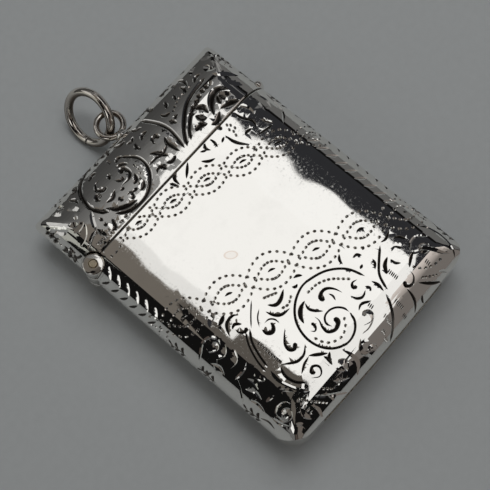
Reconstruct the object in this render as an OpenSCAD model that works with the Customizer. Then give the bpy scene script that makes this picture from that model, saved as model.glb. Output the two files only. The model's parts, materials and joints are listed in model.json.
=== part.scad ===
// Vesta case: a flat silver match box with rolled sides, a side-hinged sprung lid,
// a serrated striker in its base and a hanging ring on its lid.
// It lies on its back: +Z is the front, +Y the lid end, +X the thumb side.
// The origin is the middle of the flat back, on the surface that it rests on.

/* [Case] */
// Width over the two rolled sides
case_w = 35.6; // [32:0.2:42]
// Length from the base to the top of the lid
case_l = 47; // [42:0.5:56]
// Thickness from back to front
case_t = 9.6; // [8.8:0.1:11]
// Thickness of the sheet silver
wall = 0.6; // [0.45:0.05:0.8]

/* [Ends] */
// Length of the long roll at the top of the lid
lid_roll = 7.8; // [6:0.1:9]
// Radius at the tip of the lid's roll
lid_nose_r = 3.4; // [3.1:0.1:3.7]
// Radius of the lid's corners, seen from the front
lid_corner_r = 0.9; // [0.9:0.1:2]
// Length of the roll at the base
base_roll = 5; // [4:0.1:6]
// Height of the flat band round the striker
base_band = 3.6; // [3.4:0.1:4.2]
// How far the middle of the base bows out beyond its corners
base_bow = 0.4; // [0.2:0.05:0.8]
// Radius of the base's corners, seen from the front
base_corner_r = 3.4; // [2:0.1:4.5]
// Thickness of the end wall at the base
base_wall = 0.9; // [0.8:0.05:1.2]

/* [Lid] */
// Height of the lid above the seam
lid_h = 10.7; // [10:0.1:13]
// Gap between the lid and the body
seam_gap = 0.12; // [0.08:0.02:0.2]
// How far the mouth rim stands up into the lid
rim_proud = 1.8; // [1.2:0.1:2.2]
// How far the mouth rim reaches down into the body
rim_depth = 3; // [2:0.1:4]
// Thickness of the mouth rim
rim_t = 0.4; // [0.3:0.05:0.5]
// Clearance between the mouth rim and the lid
lid_clear = 0.14; // [0.1:0.02:0.2]

/* [Hinge] */
// Outer radius of the hinge knuckles
knuckle_r = 1.55; // [1.4:0.05:1.7]
// Length of the whole hinge barrel
barrel_len = 7.2; // [6.6:0.1:8]
// Length of the lid's middle knuckle
lid_knuckle_len = 2.8; // [2.6:0.1:3.2]
// Distance of the hinge axis inside the case's side
hinge_inset = 1.2; // [1:0.05:1.25]
// Radius of the hinge pin
pin_r = 0.6; // [0.5:0.05:0.7]
// Running clearance round the pin
pin_clear = 0.03; // [0.02:0.01:0.05]
// Height of the pin's riveted ends above the knuckles
pin_head = 0.12; // [0.1:0.02:0.2]
// Thickness of the seats that carry the knuckles
seat_t = 0.3; // [0.25:0.05:0.4]
// How far the seats reach round the barrel, outside its axis
seat_reach = 1; // [0.8:0.05:1.05]
// Running gap at the ends and the sides of the knuckles
knuckle_gap = 0.06; // [0.04:0.01:0.1]
// Distance of the cam flat from the hinge axis
cam_flat = 1.25; // [1.1:0.05:1.35]

/* [Spring] */
// Thickness of the spring steel
spring_t = 0.3; // [0.25:0.05:0.35]
// Width of the leaf spring
spring_w = 2.2; // [1.8:0.1:2.4]
// Length of the leaf below its bend
spring_len = 16; // [12:0.5:20]
// Inside radius of the spring's bend
spring_bend_r = 0.5; // [0.4:0.05:0.6]
// Length of the spring's tip beyond the bend
spring_tip = 1.2; // [1:0.1:1.4]
// Length of the keeper that grips the spring's foot
keeper_len = 5; // [4:0.5:7]
// Thickness of the keeper over the spring
keeper_t = 0.5; // [0.4:0.05:0.7]

/* [Striker] */
// Length of the striker's face
striker_w = 24; // [20:0.5:26]
// Height of the striker's face
striker_h = 2.2; // [1.8:0.1:2.4]
// Depth of the striker's face below the base
striker_recess = 0.25; // [0.2:0.05:0.35]
// Distance from one serration to the next
ridge_pitch = 0.8; // [0.6:0.05:1.2]
// Depth of the serrations
ridge_depth = 0.3; // [0.2:0.05:0.35]
// Width of the flange that seats the striker inside the base
flange_lip = 0.5; // [0.4:0.05:0.6]
// Thickness of that flange
flange_t = 0.4; // [0.3:0.05:0.6]

/* [Thumb piece] */
// Radius of the thumb piece's bead
thumb_r = 0.6; // [0.5:0.05:0.8]
// Length of the bead, from back to front
thumb_len = 4.8; // [3:0.2:6]
// Height of the bead's middle above the seam
thumb_up = 0.8; // [0.7:0.05:1.2]

/* [Loop and ring] */
// Radius of the loop, at the middle of its wire
loop_r = 1.9; // [1.8:0.05:2.2]
// Radius of the loop's wire
loop_wire_r = 0.45; // [0.4:0.05:0.5]
// Radius of the turned collar that joins the loop to the lid
collar_r = 0.95; // [0.8:0.05:1.1]
// Gap between the loop and the top of the lid
loop_gap = 0.1; // [0.05:0.05:0.2]
// Radius of the ring, at the middle of its wire
ring_r = 3.84; // [3.7:0.02:4.2]
// Radius of the ring's wire
ring_wire_r = 0.64; // [0.5:0.02:0.66]
// Angle of the ring's plane to the rest surface
ring_tilt = 56; // [52:1:60]
// Distance from the loop's middle to the ring's middle, along the case
ring_reach = 3.35; // [3.3:0.05:3.5]
// Distance of the ring's middle from the case's centre line
ring_side = -0.8; // [-0.9:0.05:-0.7]
// Height of the ring above the rest surface
ring_rest_gap = 0.1; // [0.05:0.05:0.2]

/* [Hidden] */
$fn = 64;
// Solder line between fixed pieces that fit round each other
solder = 0.02;
// Overshoot of cutting shapes
over = 1;
// The rolls at the ends start this much proud of the flat faces, so that they cross them cleanly
crown = 0.005;
half_w = case_w / 2;
mid_z = case_t / 2;
top_y = case_l / 2;
base_y = -case_l / 2;
seam_y = top_y - lid_h;
side_c = half_w - mid_z;

// The lid's end is a three-centre arch: a wide arc from the front, a small nose, a wide arc to the back.
lid_arc_y = top_y - lid_roll;
nose_y = top_y - lid_nose_r;
nose_run = lid_roll - lid_nose_r;
lid_arc_r = (nose_run * nose_run + mid_z * mid_z - lid_nose_r * lid_nose_r) / (case_t - 2 * lid_nose_r);
lid_join_y = lid_arc_y + nose_run * lid_arc_r / (lid_arc_r - lid_nose_r);

// The base's roll is one arc from the front to the edge of the flat band.
base_arc_y = base_y + base_roll;
base_drop = (case_t - base_band) / 2;
base_arc_r = (base_roll * base_roll + base_drop * base_drop) / (2 * base_drop);
bow_r = (half_w * half_w + base_bow * base_bow) / (2 * base_bow);

hinge_x = -half_w + hinge_inset;
seat_in_r = knuckle_r + knuckle_gap;
notch_r = seat_in_r + seat_t + solder;
rim_start_x = hinge_x + notch_r + over;
lid_knuckle_z = mid_z - lid_knuckle_len / 2;
barrel_z = mid_z - barrel_len / 2;
body_knuckle_len = (barrel_len - lid_knuckle_len) / 2 - knuckle_gap;

spring_half = spring_w / 2;
cavity_r = mid_z - wall;
spring_x = -side_c - sqrt(cavity_r * cavity_r - spring_half * spring_half) + 2 * solder;
spring_tip_y = seam_y - cam_flat - knuckle_gap;
spring_bend_y = spring_tip_y - spring_t - spring_bend_r;
spring_foot_y = spring_bend_y - spring_len;

loop_y = top_y + loop_gap + loop_wire_r + loop_r;
ring_z = ring_r * sin(ring_tilt) + ring_wire_r + ring_rest_gap;

function bow_y(x, inset) = base_y + bow_r - sqrt((bow_r - inset) * (bow_r - inset) - x * x);

// A section drawn in X and Z, swept along Y
module along_y(y0, y1) {
    translate([0, y1, 0]) rotate([90, 0, 0]) linear_extrude(y1 - y0) children();
}

// A section drawn in Y and Z, swept across X
module across_x(width) {
    rotate([90, 0, 90]) linear_extrude(width, center = true) children();
}

// Cross-section of the case: flat front and back between half-round sides
module roll_section(inset) {
    translate([-side_c, inset]) square([2 * side_c, case_t - 2 * inset]);
    for (side = [-1, 1]) translate([side * side_c, mid_z]) circle(mid_z - inset);
}

// Side view of the case from y0 up to the rounded end of the lid, open above and below its flat stretch
module side_profile(inset, y0) {
    trim = inset - crown;
    difference() {
        union() {
            translate([y0, -over]) square([lid_arc_y - y0, case_t + 2 * over]);
            intersection() {
                translate([lid_arc_y, case_t - lid_arc_r]) circle(lid_arc_r - trim);
                translate([lid_arc_y, lid_arc_r]) circle(lid_arc_r - trim);
                translate([lid_arc_y - over, -over]) square([lid_join_y - lid_arc_y + over, case_t + 2 * over]);
            }
            translate([nose_y, mid_z]) circle(lid_nose_r - trim);
        }
        for (back = [0, 1]) translate([0, back * case_t]) mirror([0, back]) base_roll_cut(trim);
    }
}

// What the roll at the base takes off one corner of the side view
module base_roll_cut(trim) {
    difference() {
        translate([base_y - 2 * over, mid_z]) square([base_roll + 2 * over, mid_z + 2 * over]);
        translate([base_arc_y, case_t - base_arc_r]) circle(base_arc_r - trim);
    }
}

// Front view of the case: sharp lid corners, rounder base corners, bowed base
module plan(inset) {
    reach = half_w - inset;
    difference() {
        intersection() {
            translate([-reach, base_y - over]) square([2 * reach, case_l + over - inset]);
            translate([0, base_y + bow_r]) circle(bow_r - inset, $fn = 360);
        }
        for (side = [0, 1]) mirror([side, 0]) {
            corner_cut(reach, top_y - inset, lid_corner_r - inset, 1);
            base_r = base_corner_r - inset;
            corner_cut(reach, bow_y(reach - base_r, inset), base_r, -1);
        }
    }
}

// What a corner of radius r, with its edges at x and y, takes off the front view
module corner_cut(x, y, r, up) {
    difference() {
        translate([x - r, up > 0 ? y - r : y + r - 3 * r]) square([3 * r, 3 * r]);
        translate([x - r, y - up * r]) circle(r);
    }
}

// The case's outer form, or its hollow when inset by the wall
module case_form(inset, y0) {
    intersection() {
        along_y(base_y - over, top_y + over) roll_section(inset);
        across_x(case_w + over) side_profile(inset, y0);
        translate([0, 0, -over]) linear_extrude(case_t + 2 * over) plan(inset);
    }
}

module outer_form() { case_form(0, base_y - over); }
module hollow() { case_form(wall, base_y + base_wall); }

// One half of the body or the lid, struck from sheet, cut out round the hinge
module shell(y0, y1, z0) {
    intersection() {
        difference() {
            outer_form();
            hollow();
            hinge_cylinder(notch_r);
        }
        translate([-case_w, y0, z0]) cube([2 * case_w, y1 - y0, mid_z]);
    }
}

module hinge_cylinder(r) {
    translate([hinge_x, seam_y, -over]) cylinder(r = r, h = case_t + 2 * over);
}

// Body half: open at the mouth, with a slot in its base for the striker
module body_half(z0) {
    difference() {
        shell(base_y - over, seam_y - seam_gap / 2, z0);
        striker_block(striker_w + 2 * solder, striker_h + 2 * solder, base_y - over, base_y + base_wall + over);
    }
}

module body_front() { color("silver") body_half(mid_z); }
module body_back() { color("silver") body_half(0); }

module lid_half(z0) {
    shell(seam_y + seam_gap / 2, top_y + over, z0);
}

module lid_front() { color("silver") lid_half(mid_z); }
module lid_back() { color("silver") lid_half(0); }

// Rim inside the mouth, round the front, the thumb side and the back
module mouth_rim() {
    color("lightgray") intersection() {
        union() {
            rim_band(wall + solder, seam_y - rim_depth, seam_y - seam_gap / 2);
            rim_band(wall + lid_clear, seam_y - rim_depth, seam_y + rim_proud);
        }
        translate([rim_start_x, base_y, -over]) cube([case_w, case_l, case_t + 2 * over]);
    }
}

module rim_band(inset, y0, y1) {
    along_y(y0, y1) difference() {
        roll_section(inset);
        roll_section(wall + lid_clear + rim_t);
    }
}

// A block across the base, centred on the striker
module striker_block(width, height, y0, y1) {
    translate([-width / 2, y0, mid_z - height / 2]) cube([width, y1 - y0, height]);
}

// Striker: a serrated plate in the base's slot, with a flange behind it
module striker_plate() {
    face_y = base_y + striker_recess + base_bow / 2;
    ridges = floor((striker_w + solder) / ridge_pitch);
    start = -ridges * ridge_pitch / 2;
    teeth = [for (i = [0 : 2 * ridges]) [start + i * ridge_pitch / 2, face_y + (i % 2) * ridge_depth]];
    back = base_y + base_wall + solder;
    color("dimgray") {
        translate([0, 0, mid_z - striker_h / 2]) linear_extrude(striker_h)
            polygon(concat(teeth, [[-start, back], [start, back]]));
        striker_block(striker_w + 2 * flange_lip, striker_h + 2 * flange_lip, back, back + flange_t);
    }
}

// A knuckle of the hinge barrel, bored for the pin
module knuckle(z0, length) {
    translate([hinge_x, seam_y, z0]) difference() {
        cylinder(r = knuckle_r, h = length);
        translate([0, 0, -over]) cylinder(r = pin_r + pin_clear, h = length + 2 * over);
    }
}

module front_knuckle() { color("silver") knuckle(barrel_z + barrel_len - body_knuckle_len, body_knuckle_len); }
module back_knuckle() { color("silver") knuckle(barrel_z, body_knuckle_len); }

// Middle knuckle on the lid, with the flat that the spring bears on
module lid_knuckle() {
    color("silver") difference() {
        knuckle(lid_knuckle_z, lid_knuckle_len);
        translate([hinge_x - knuckle_r - over, seam_y - cam_flat - 2 * knuckle_r, 0])
            cube([2 * (knuckle_r + over), 2 * knuckle_r, case_t]);
    }
}

// Curved seat that lines the hinge notch on one side of the seam
module hinge_seat(y0) {
    intersection() {
        difference() {
            outer_form();
            hinge_cylinder(seat_in_r);
        }
        hinge_cylinder(notch_r - solder);
        translate([hinge_x - seat_reach, y0, -over]) cube([case_w, case_l, case_t + 2 * over]);
    }
}

module body_hinge_seat() {
    window = lid_knuckle_len + 2 * knuckle_gap;
    color("lightgray") difference() {
        hinge_seat(seam_y - seam_gap / 2 - case_l);
        translate([hinge_x - knuckle_r / 2, seam_y - 2 * notch_r, mid_z - window / 2])
            cube([2 * notch_r, 2 * notch_r - knuckle_r / 2, window]);
    }
}

module lid_hinge_seat() { color("lightgray") hinge_seat(seam_y + seam_gap / 2); }

// Hinge pin, riveted over in a low cone at both ends
module hinge_pin() {
    end_z = barrel_len / 2;
    head_r = pin_r - pin_head;
    color("goldenrod") translate([hinge_x, seam_y, mid_z]) rotate_extrude() polygon([
        [0, -end_z - pin_head], [head_r, -end_z - pin_head], [pin_r, -end_z],
        [pin_r, end_z], [head_r, end_z + pin_head], [0, end_z + pin_head]
    ]);
}

// Leaf spring: a straight leaf along the hinge side, bent in under the lid's knuckle
module leaf_spring() {
    bend_x = spring_x + spring_t + spring_bend_r;
    color("slategray") translate([0, 0, mid_z - spring_half]) {
        translate([spring_x, spring_foot_y, 0]) cube([spring_t, spring_len, spring_w]);
        translate([bend_x, spring_bend_y, 0]) rotate([0, 0, 90]) rotate_extrude(angle = 90)
            translate([spring_bend_r, 0]) square([spring_t, spring_w]);
        translate([bend_x, spring_tip_y - spring_t, 0]) cube([spring_tip, spring_t, spring_w]);
    }
}

// Keeper soldered in the side roll, with a slot that grips the spring's foot
module spring_keeper() {
    slot_w = spring_w + 2 * solder;
    height = spring_w + 2 * keeper_t;
    color("lightgray") difference() {
        along_y(spring_foot_y, spring_foot_y + keeper_len) intersection() {
            roll_section(wall + solder);
            translate([-half_w, mid_z - height / 2])
                square([spring_x + spring_t + keeper_t + half_w, height]);
        }
        translate([-half_w, spring_foot_y - over, mid_z - slot_w / 2])
            cube([spring_x + spring_t + solder + half_w, keeper_len + 2 * over, slot_w]);
    }
}

// Thumb piece: a round bead bent to the side roll, with rounded ends, just above the seam
module thumb_piece() {
    end_r = thumb_r + solder;
    end_z = thumb_len / 2 - end_r;
    color("silver") difference() {
        translate([side_c, seam_y + thumb_up, mid_z]) intersection() {
            rotate([-90, 0, 0]) rotate_extrude() translate([mid_z, 0]) circle(thumb_r);
            rotate([0, 90, 0]) linear_extrude(case_w) {
                square([2 * end_z, 2 * end_r], center = true);
                for (end = [-1, 1]) translate([end * end_z, 0]) circle(end_r);
            }
        }
        outer_form();
    }
}

module loop_ring(wire_r) {
    translate([0, loop_y, mid_z]) rotate_extrude() translate([loop_r, 0]) circle(wire_r);
}

// Collar: a small turned boss between the lid's nose and the loop
module loop_collar() {
    color("silver") difference() {
        translate([0, top_y, mid_z]) rotate([-90, 0, 0]) sphere(collar_r);
        across_x(case_w) side_profile(0, seam_y);
        loop_ring(loop_wire_r + solder);
    }
}

module suspension_loop() { color("silver") loop_ring(loop_wire_r); }

// Ring that hangs in the loop and leans on the rest surface
module suspension_ring() {
    color("silver") translate([ring_side, loop_y + ring_reach, ring_z]) rotate([0, -ring_tilt, 0])
        rotate_extrude() translate([ring_r, 0]) circle(ring_wire_r);
}

body_front();
body_back();
mouth_rim();
striker_plate();
front_knuckle();
back_knuckle();
body_hinge_seat();
hinge_pin();
leaf_spring();
spring_keeper();
lid_front();
lid_back();
lid_knuckle();
lid_hinge_seat();
thumb_piece();
loop_collar();
suspension_loop();
suspension_ring();
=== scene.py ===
# %% [markdown]
# # A silver vesta case
# A vesta case is a pocket box for wax matches: two struck halves of sheet silver soldered into a flat
# body, a sprung lid hinged at one side, a striker in the base and a ring for a watch chain.
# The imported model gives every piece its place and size. This lesson dresses it: the four shells are
# modelled again with their engraving cut into the metal, and the small fittings get finer meshes.

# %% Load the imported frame
import json
import math

import bmesh
import bpy
import numpy as np
from mathutils import Matrix, Vector
from mathutils.geometry import delaunay_2d_cdt

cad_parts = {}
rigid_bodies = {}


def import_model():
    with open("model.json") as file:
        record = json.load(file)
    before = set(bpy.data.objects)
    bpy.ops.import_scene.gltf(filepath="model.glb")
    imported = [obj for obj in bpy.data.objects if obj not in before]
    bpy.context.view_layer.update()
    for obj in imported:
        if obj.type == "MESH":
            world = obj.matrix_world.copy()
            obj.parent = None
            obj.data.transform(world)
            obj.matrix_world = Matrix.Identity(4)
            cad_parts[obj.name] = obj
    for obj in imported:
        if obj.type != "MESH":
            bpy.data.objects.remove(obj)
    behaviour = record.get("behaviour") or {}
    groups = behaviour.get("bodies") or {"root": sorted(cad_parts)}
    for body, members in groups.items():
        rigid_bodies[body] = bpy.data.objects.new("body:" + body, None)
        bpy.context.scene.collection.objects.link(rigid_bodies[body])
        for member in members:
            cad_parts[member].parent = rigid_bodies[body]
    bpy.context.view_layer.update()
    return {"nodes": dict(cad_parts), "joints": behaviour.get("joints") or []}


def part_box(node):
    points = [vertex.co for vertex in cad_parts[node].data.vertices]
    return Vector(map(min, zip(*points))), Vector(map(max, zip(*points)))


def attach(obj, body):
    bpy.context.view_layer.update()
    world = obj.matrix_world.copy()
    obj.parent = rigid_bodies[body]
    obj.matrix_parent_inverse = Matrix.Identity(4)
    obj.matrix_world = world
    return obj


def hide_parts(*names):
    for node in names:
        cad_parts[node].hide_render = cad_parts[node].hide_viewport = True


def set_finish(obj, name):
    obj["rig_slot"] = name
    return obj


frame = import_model()
print("nodes in the frame:", len(frame["nodes"]))

# %% [markdown]
# ## Sizes
# Lengths are in millimetres while a shape is worked out, and become metres when its mesh is made.
# What the frame can tell is read from it. The radii of the rolls, which a box can't tell, are named here.

# %% Read the main sizes
MM = 0.001


def box_mm(node):
    """The low and high corners of a node's box."""
    low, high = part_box(node)
    return np.array(low) / MM, np.array(high) / MM


def joint_mm(name):
    """The place of a joint."""
    found = [j for j in frame["joints"] if j["name"] == name]
    return np.array(found[0]["pos_m"]) / MM


body_low, body_high = box_mm("body_front")
lid_low, lid_high = box_mm("lid_front")
half_w, mid_z, front_z = body_high[0], body_low[2], body_high[2]
base_y, top_y = body_low[1], lid_high[1]
body_edge, lid_edge = body_high[1], lid_low[1]
hinge = joint_mm("lid_hinge")
side_r = front_z - mid_z
side_c = half_w - side_r
print("case", [round(size, 2) for size in (2 * half_w, top_y - base_y, 2 * side_r)], "mm")

# %% Name the radii and walls
LID_ROLL, NOSE_R, LID_CORNER_R = 7.8, 3.4, 0.9
BASE_ROLL, BASE_BAND, BASE_BOW, BASE_CORNER_R = 5.0, 3.6, 0.4, 3.4
WALL, BASE_WALL = 0.6, 0.9
NOTCH_R, MITRE_EASE = 1.93, 2.2
SLOT_W, SLOT_H = 24.04, 2.24

lid_arc_y = top_y - LID_ROLL
nose_y = top_y - NOSE_R
nose_run = LID_ROLL - NOSE_R
lid_arc_r = (nose_run**2 + side_r**2 - NOSE_R**2) / (2 * side_r - 2 * NOSE_R)
nose_start = math.atan2(nose_run, mid_z - front_z + lid_arc_r)
base_arc_y = base_y + BASE_ROLL
base_drop = side_r - BASE_BAND / 2
base_arc_r = (BASE_ROLL**2 + base_drop**2) / (2 * base_drop)
bow_r = (half_w**2 + BASE_BOW**2) / (2 * BASE_BOW)
nose_v = lid_arc_y + lid_arc_r * nose_start
print("roll radii", round(side_r, 2), round(lid_arc_r, 2), round(base_arc_r, 2))

# %% [markdown]
# ## The front as a flat sheet
# An engraver thinks of the front as one sheet that wraps over the rolls, so the drawing is laid out in
# unrolled millimetres: u runs across the case and v along it, and both follow the metal round the rolls.
# place() bends a drawn point back onto the case, and gives the way that the metal faces there. Where a
# side roll meets a roll at the end, the struck sheet turns softly, so the mitre between them is eased. An
# inset gives the inside of the wall.

# %% Bend the sheet onto the case
LEAST_EASE, LEAST_COS = 1e-6, 0.01


def end_arc(v):
    """Centre y and z, radius and angle from upright of the arc that the metal follows at v."""
    lid = np.minimum(v - lid_arc_y, nose_v - lid_arc_y) / lid_arc_r
    nose = nose_start + (v - nose_v) / NOSE_R
    base = (v - base_arc_y) / base_arc_r
    cases = [v > nose_v, v > lid_arc_y, v < base_arc_y]
    # On the flat the angle is 0, so any radius gives the same place.
    centre_y = np.select(cases, [nose_y, lid_arc_y, base_arc_y], v)
    centre_z = np.select(cases, [mid_z, front_z - lid_arc_r, front_z - base_arc_r], front_z - lid_arc_r)
    radius = np.select(cases, [NOSE_R, lid_arc_r, base_arc_r], lid_arc_r)
    angle = np.select(cases, [nose, lid, base], 0.0)
    return centre_y, centre_z, radius, angle


def place(uv, inset=0.0):
    """The place on the case of each point of the sheet, and the way that the metal faces there."""
    u, v = uv[:, 0], uv[:, 1]
    side = np.sign(u) * np.clip((np.abs(u) - side_c) / side_r, 0, math.pi / 2)
    centre_y, centre_z, radius, end = end_arc(v)
    roll_z = mid_z + (side_r - inset) * np.cos(side)
    end_z = centre_z + (radius - inset) * np.cos(end)
    x = np.clip(u, -side_c, side_c) + (side_r - inset) * np.sin(side)
    y = centre_y + (radius - inset) * np.sin(end)
    room = np.minimum(front_z - inset - np.maximum(roll_z, end_z), 2 * (np.minimum(roll_z, end_z) - mid_z))
    ease = np.clip(room, LEAST_EASE, MITRE_EASE)
    share = np.clip(0.5 + 0.5 * (end_z - roll_z) / ease, 0, 1)
    z = roll_z * share + end_z * (1 - share) - ease * share * (1 - share)
    slope_x = np.sin(side) / np.maximum(np.cos(side), LEAST_COS) * share
    slope_y = np.sin(end) / np.maximum(np.cos(end), LEAST_COS) * (1 - share)
    facing = np.c_[slope_x, slope_y, np.ones_like(u)]
    return np.c_[x, y, z], facing / np.linalg.norm(facing, axis=1)[:, None]


def flatten(xy, inset=0.0):
    """The sheet's u and v above a point of the front view."""
    x, y = xy[:, 0], xy[:, 1]
    reach = np.clip((np.abs(x) - side_c) / (side_r - inset), 0, 1)
    u = np.where(np.abs(x) > side_c, np.sign(x) * (side_c + side_r * np.arcsin(reach)), x)
    lid = np.arcsin(np.clip((y - lid_arc_y) / (lid_arc_r - inset), 0, 1))
    nose = np.arcsin(np.clip((y - nose_y) / (NOSE_R - inset), 0, 1))
    base = np.arcsin(np.clip((base_arc_y - y) / (base_arc_r - inset), 0, 1))
    lid_v = np.where(lid > nose_start, nose_v + NOSE_R * (nose - nose_start), lid_arc_y + lid_arc_r * lid)
    v = np.select([y > lid_arc_y, y < base_arc_y], [lid_v, base_arc_y - base_arc_r * base], y)
    return np.c_[u, v]


SIDE_U = side_c + side_r * math.pi / 2
print("sheet is", round(2 * SIDE_U, 1), "mm across")

# %% [markdown]
# ## The outline of each half
# Seen from the front, the body ends at its seam, its sides and its bowed base, and the lid at its seam,
# its sides and its top. Both are cut away round the hinge barrel. The same walk round the outline, with
# the same number of steps, is made for the outside and the inside of the wall, so that one strip joins them.

# %% Walk round the outlines
SLOT_STEP, SLOT_POINTS, BESIDE_SLOT_POINTS = 0.004, 60, 6
NOTCH_POINTS, SEAM_POINTS = 18, 96
BASE_CORNER_POINTS, BODY_LEFT_POINTS, BODY_RIGHT_POINTS = 12, 64, 70
LID_CORNER_POINTS, LID_TOP_POINTS, LID_LEFT_POINTS, LID_RIGHT_POINTS = 10, 70, 22, 24


def arc_points(centre, radius, start, end, count):
    """Points on an arc, from one angle to another in degrees."""
    angle = np.radians(np.linspace(start, end, count))
    return np.c_[centre[0] + radius * np.cos(angle), centre[1] + radius * np.sin(angle)]


def run(start, end, count):
    """Even steps from one place to another."""
    return np.linspace(start, end, count)


def notch_ends(inset, edge):
    """Angles at which the hinge notch leaves the case's side and the seam."""
    side = math.degrees(math.acos((-half_w + inset - hinge[0]) / NOTCH_R))
    seam = math.degrees(math.asin(abs(edge - hinge[1]) / NOTCH_R))
    return side, seam


def bow_y(x, inset):
    """Where the bowed base lies at x."""
    return base_y + bow_r - np.sqrt((bow_r - inset) ** 2 - x**2)


def body_rim(inset):
    """The body in the front view: its base and right side, its hinge notch and its left side."""
    reach, radius = half_w - inset, BASE_CORNER_R - inset
    side, seam = notch_ends(inset, body_edge)
    corner_x = reach - radius
    corner_y = bow_y(corner_x, inset) + radius
    slot = SLOT_W / 2
    plain = run(slot, corner_x, BESIDE_SLOT_POINTS)
    base_x = np.r_[-plain[::-1], run(-slot + SLOT_STEP, slot - SLOT_STEP, SLOT_POINTS), plain]
    parts = [
        arc_points((-corner_x, corner_y), radius, 180, 270, BASE_CORNER_POINTS)[:-1],
        np.c_[base_x, bow_y(base_x, inset)],
        arc_points((corner_x, corner_y), radius, 270, 360, BASE_CORNER_POINTS)[1:],
        run((reach, corner_y), (reach, body_edge), BODY_RIGHT_POINTS)[1:],
    ]
    plan = np.vstack(parts)
    plan[:, 1] = np.maximum(plan[:, 1], base_y + (BASE_WALL if inset else 0))
    notch = arc_points(hinge, NOTCH_R, -seam, -side, NOTCH_POINTS)
    left = run((-reach, notch[-1, 1]), (-reach, corner_y), BODY_LEFT_POINTS)[1:-1]
    return plan, notch, left


def lid_rim(inset):
    """The lid in the front view: its right side, top and left side, and its hinge notch."""
    reach, radius = half_w - inset, LID_CORNER_R - inset
    side, seam = notch_ends(inset, lid_edge)
    corner = np.array((reach - radius, top_y - inset - radius))
    notch = arc_points(hinge, NOTCH_R, side, seam, NOTCH_POINTS)
    parts = [
        run((reach, lid_edge), (reach, corner[1]), LID_RIGHT_POINTS)[:-1],
        arc_points(corner, radius, 0, 90, LID_CORNER_POINTS)[:-1],
        run((corner[0], top_y - inset), (-corner[0], top_y - inset), LID_TOP_POINTS),
        arc_points((-corner[0], corner[1]), radius, 90, 180, LID_CORNER_POINTS)[1:],
        run((-reach, corner[1]), (-reach, notch[0, 1]), LID_LEFT_POINTS)[1:-1],
    ]
    return np.vstack(parts), notch


def rim_of(part, inset):
    """The outline in u and v, anticlockwise."""
    if part == "body":
        plan, notch, left = body_rim(inset)
        notch, left = flatten(notch, inset), flatten(left, inset)
        seam = run((SIDE_U, body_edge), notch[0], SEAM_POINTS)[1:-1]
        return np.vstack([flatten(plan, inset), seam, notch, left])
    plan, notch = lid_rim(inset)
    notch = flatten(notch, inset)
    seam = run(notch[-1], (SIDE_U, lid_edge), SEAM_POINTS)[1:-1]
    return np.vstack([flatten(plan, inset), notch, seam])


print("outline steps:", {part: len(rim_of(part, 0.0)) for part in ("body", "lid")})

# %% [markdown]
# ## The engraver's cuts
# A graver leaves a groove that swells along a stroke and ends in a point. Three strokes make all the
# scrolls: an even line, a comma with a heavy head, and a leaf that swells in the middle. A punch makes the
# small pits. A curve object with a bevel could follow a stroke, but the width has to change along it in
# three ways, so a stroke is a few drawn points, a smooth curve through them and a half width at each step.

# %% Curves and strokes
CUT_STEP, CURVE_PARTS, FEWEST_STEPS = 0.16, 16, 6
LEAF_FULLNESS, COMMA_HEAD, COMMA_TAPER, LINE_TAPER = 0.7, 0.6, 0.75, 0.7
# The graver cuts a little wider than a stroke is drawn.
GRAVER = 1.25


def curve_through(points, step=CUT_STEP):
    """Evenly spaced points on a smooth curve through the drawn ones."""
    p = np.array(points, float)
    if len(p) > 2:
        padded = np.vstack([2 * p[0] - p[1], p, 2 * p[-1] - p[-2]])
        t = np.linspace(0, 1, CURVE_PARTS, endpoint=False)[:, None]
        pieces = []
        for a, b, c, d in zip(padded, padded[1:], padded[2:], padded[3:]):
            pieces.append(0.5 * (2 * b + (c - a) * t + (2 * a - 5 * b + 4 * c - d) * t**2
                                 + (3 * b - a - 3 * c + d) * t**3))
        p = np.vstack(pieces + [p[-1:]])
    length = np.r_[0, np.cumsum(np.linalg.norm(np.diff(p, axis=0), axis=1))]
    count = max(FEWEST_STEPS, int(length[-1] / step))
    even = np.linspace(0, length[-1], count)
    return np.c_[np.interp(even, length, p[:, 0]), np.interp(even, length, p[:, 1])]


def half_widths(path, kind, width):
    """Half the width of a cut at each step of its path, by its kind of stroke."""
    steps = np.linalg.norm(np.diff(path, axis=0), axis=1)
    run_mm = np.r_[0, np.cumsum(steps)]
    share = run_mm / run_mm[-1]
    if kind == "leaf":
        shape = np.sin(math.pi * share) ** LEAF_FULLNESS
    elif kind == "comma":
        head = np.clip(run_mm / (COMMA_HEAD * width), 0, 1)
        shape = np.sqrt(head * (2 - head)) * (1 - share) ** COMMA_TAPER
    else:
        shape = np.clip(np.minimum(run_mm, run_mm[-1] - run_mm) / LINE_TAPER, 0, 1)
    return 0.5 * GRAVER * width * shape


sample, drawn = curve_through([(0, 0), (1, 0.6), (2, 0)]), 0.4
widest = 2 * half_widths(sample, "leaf", drawn).max()
print("a leaf drawn", drawn, "mm wide has", len(sample), "steps and is cut", round(widest, 2), "mm wide")

# %% [markdown]
# ## The drawing
# The layout is a traditional one: scrolling leaves over the lid and the foot of the body, a plain band
# slanting across the middle between two borders of interlaced dotted chains, and feather marks along the
# narrow sides. The strokes are grouped by where they lie. A row is a width, then the points it goes through.

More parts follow.
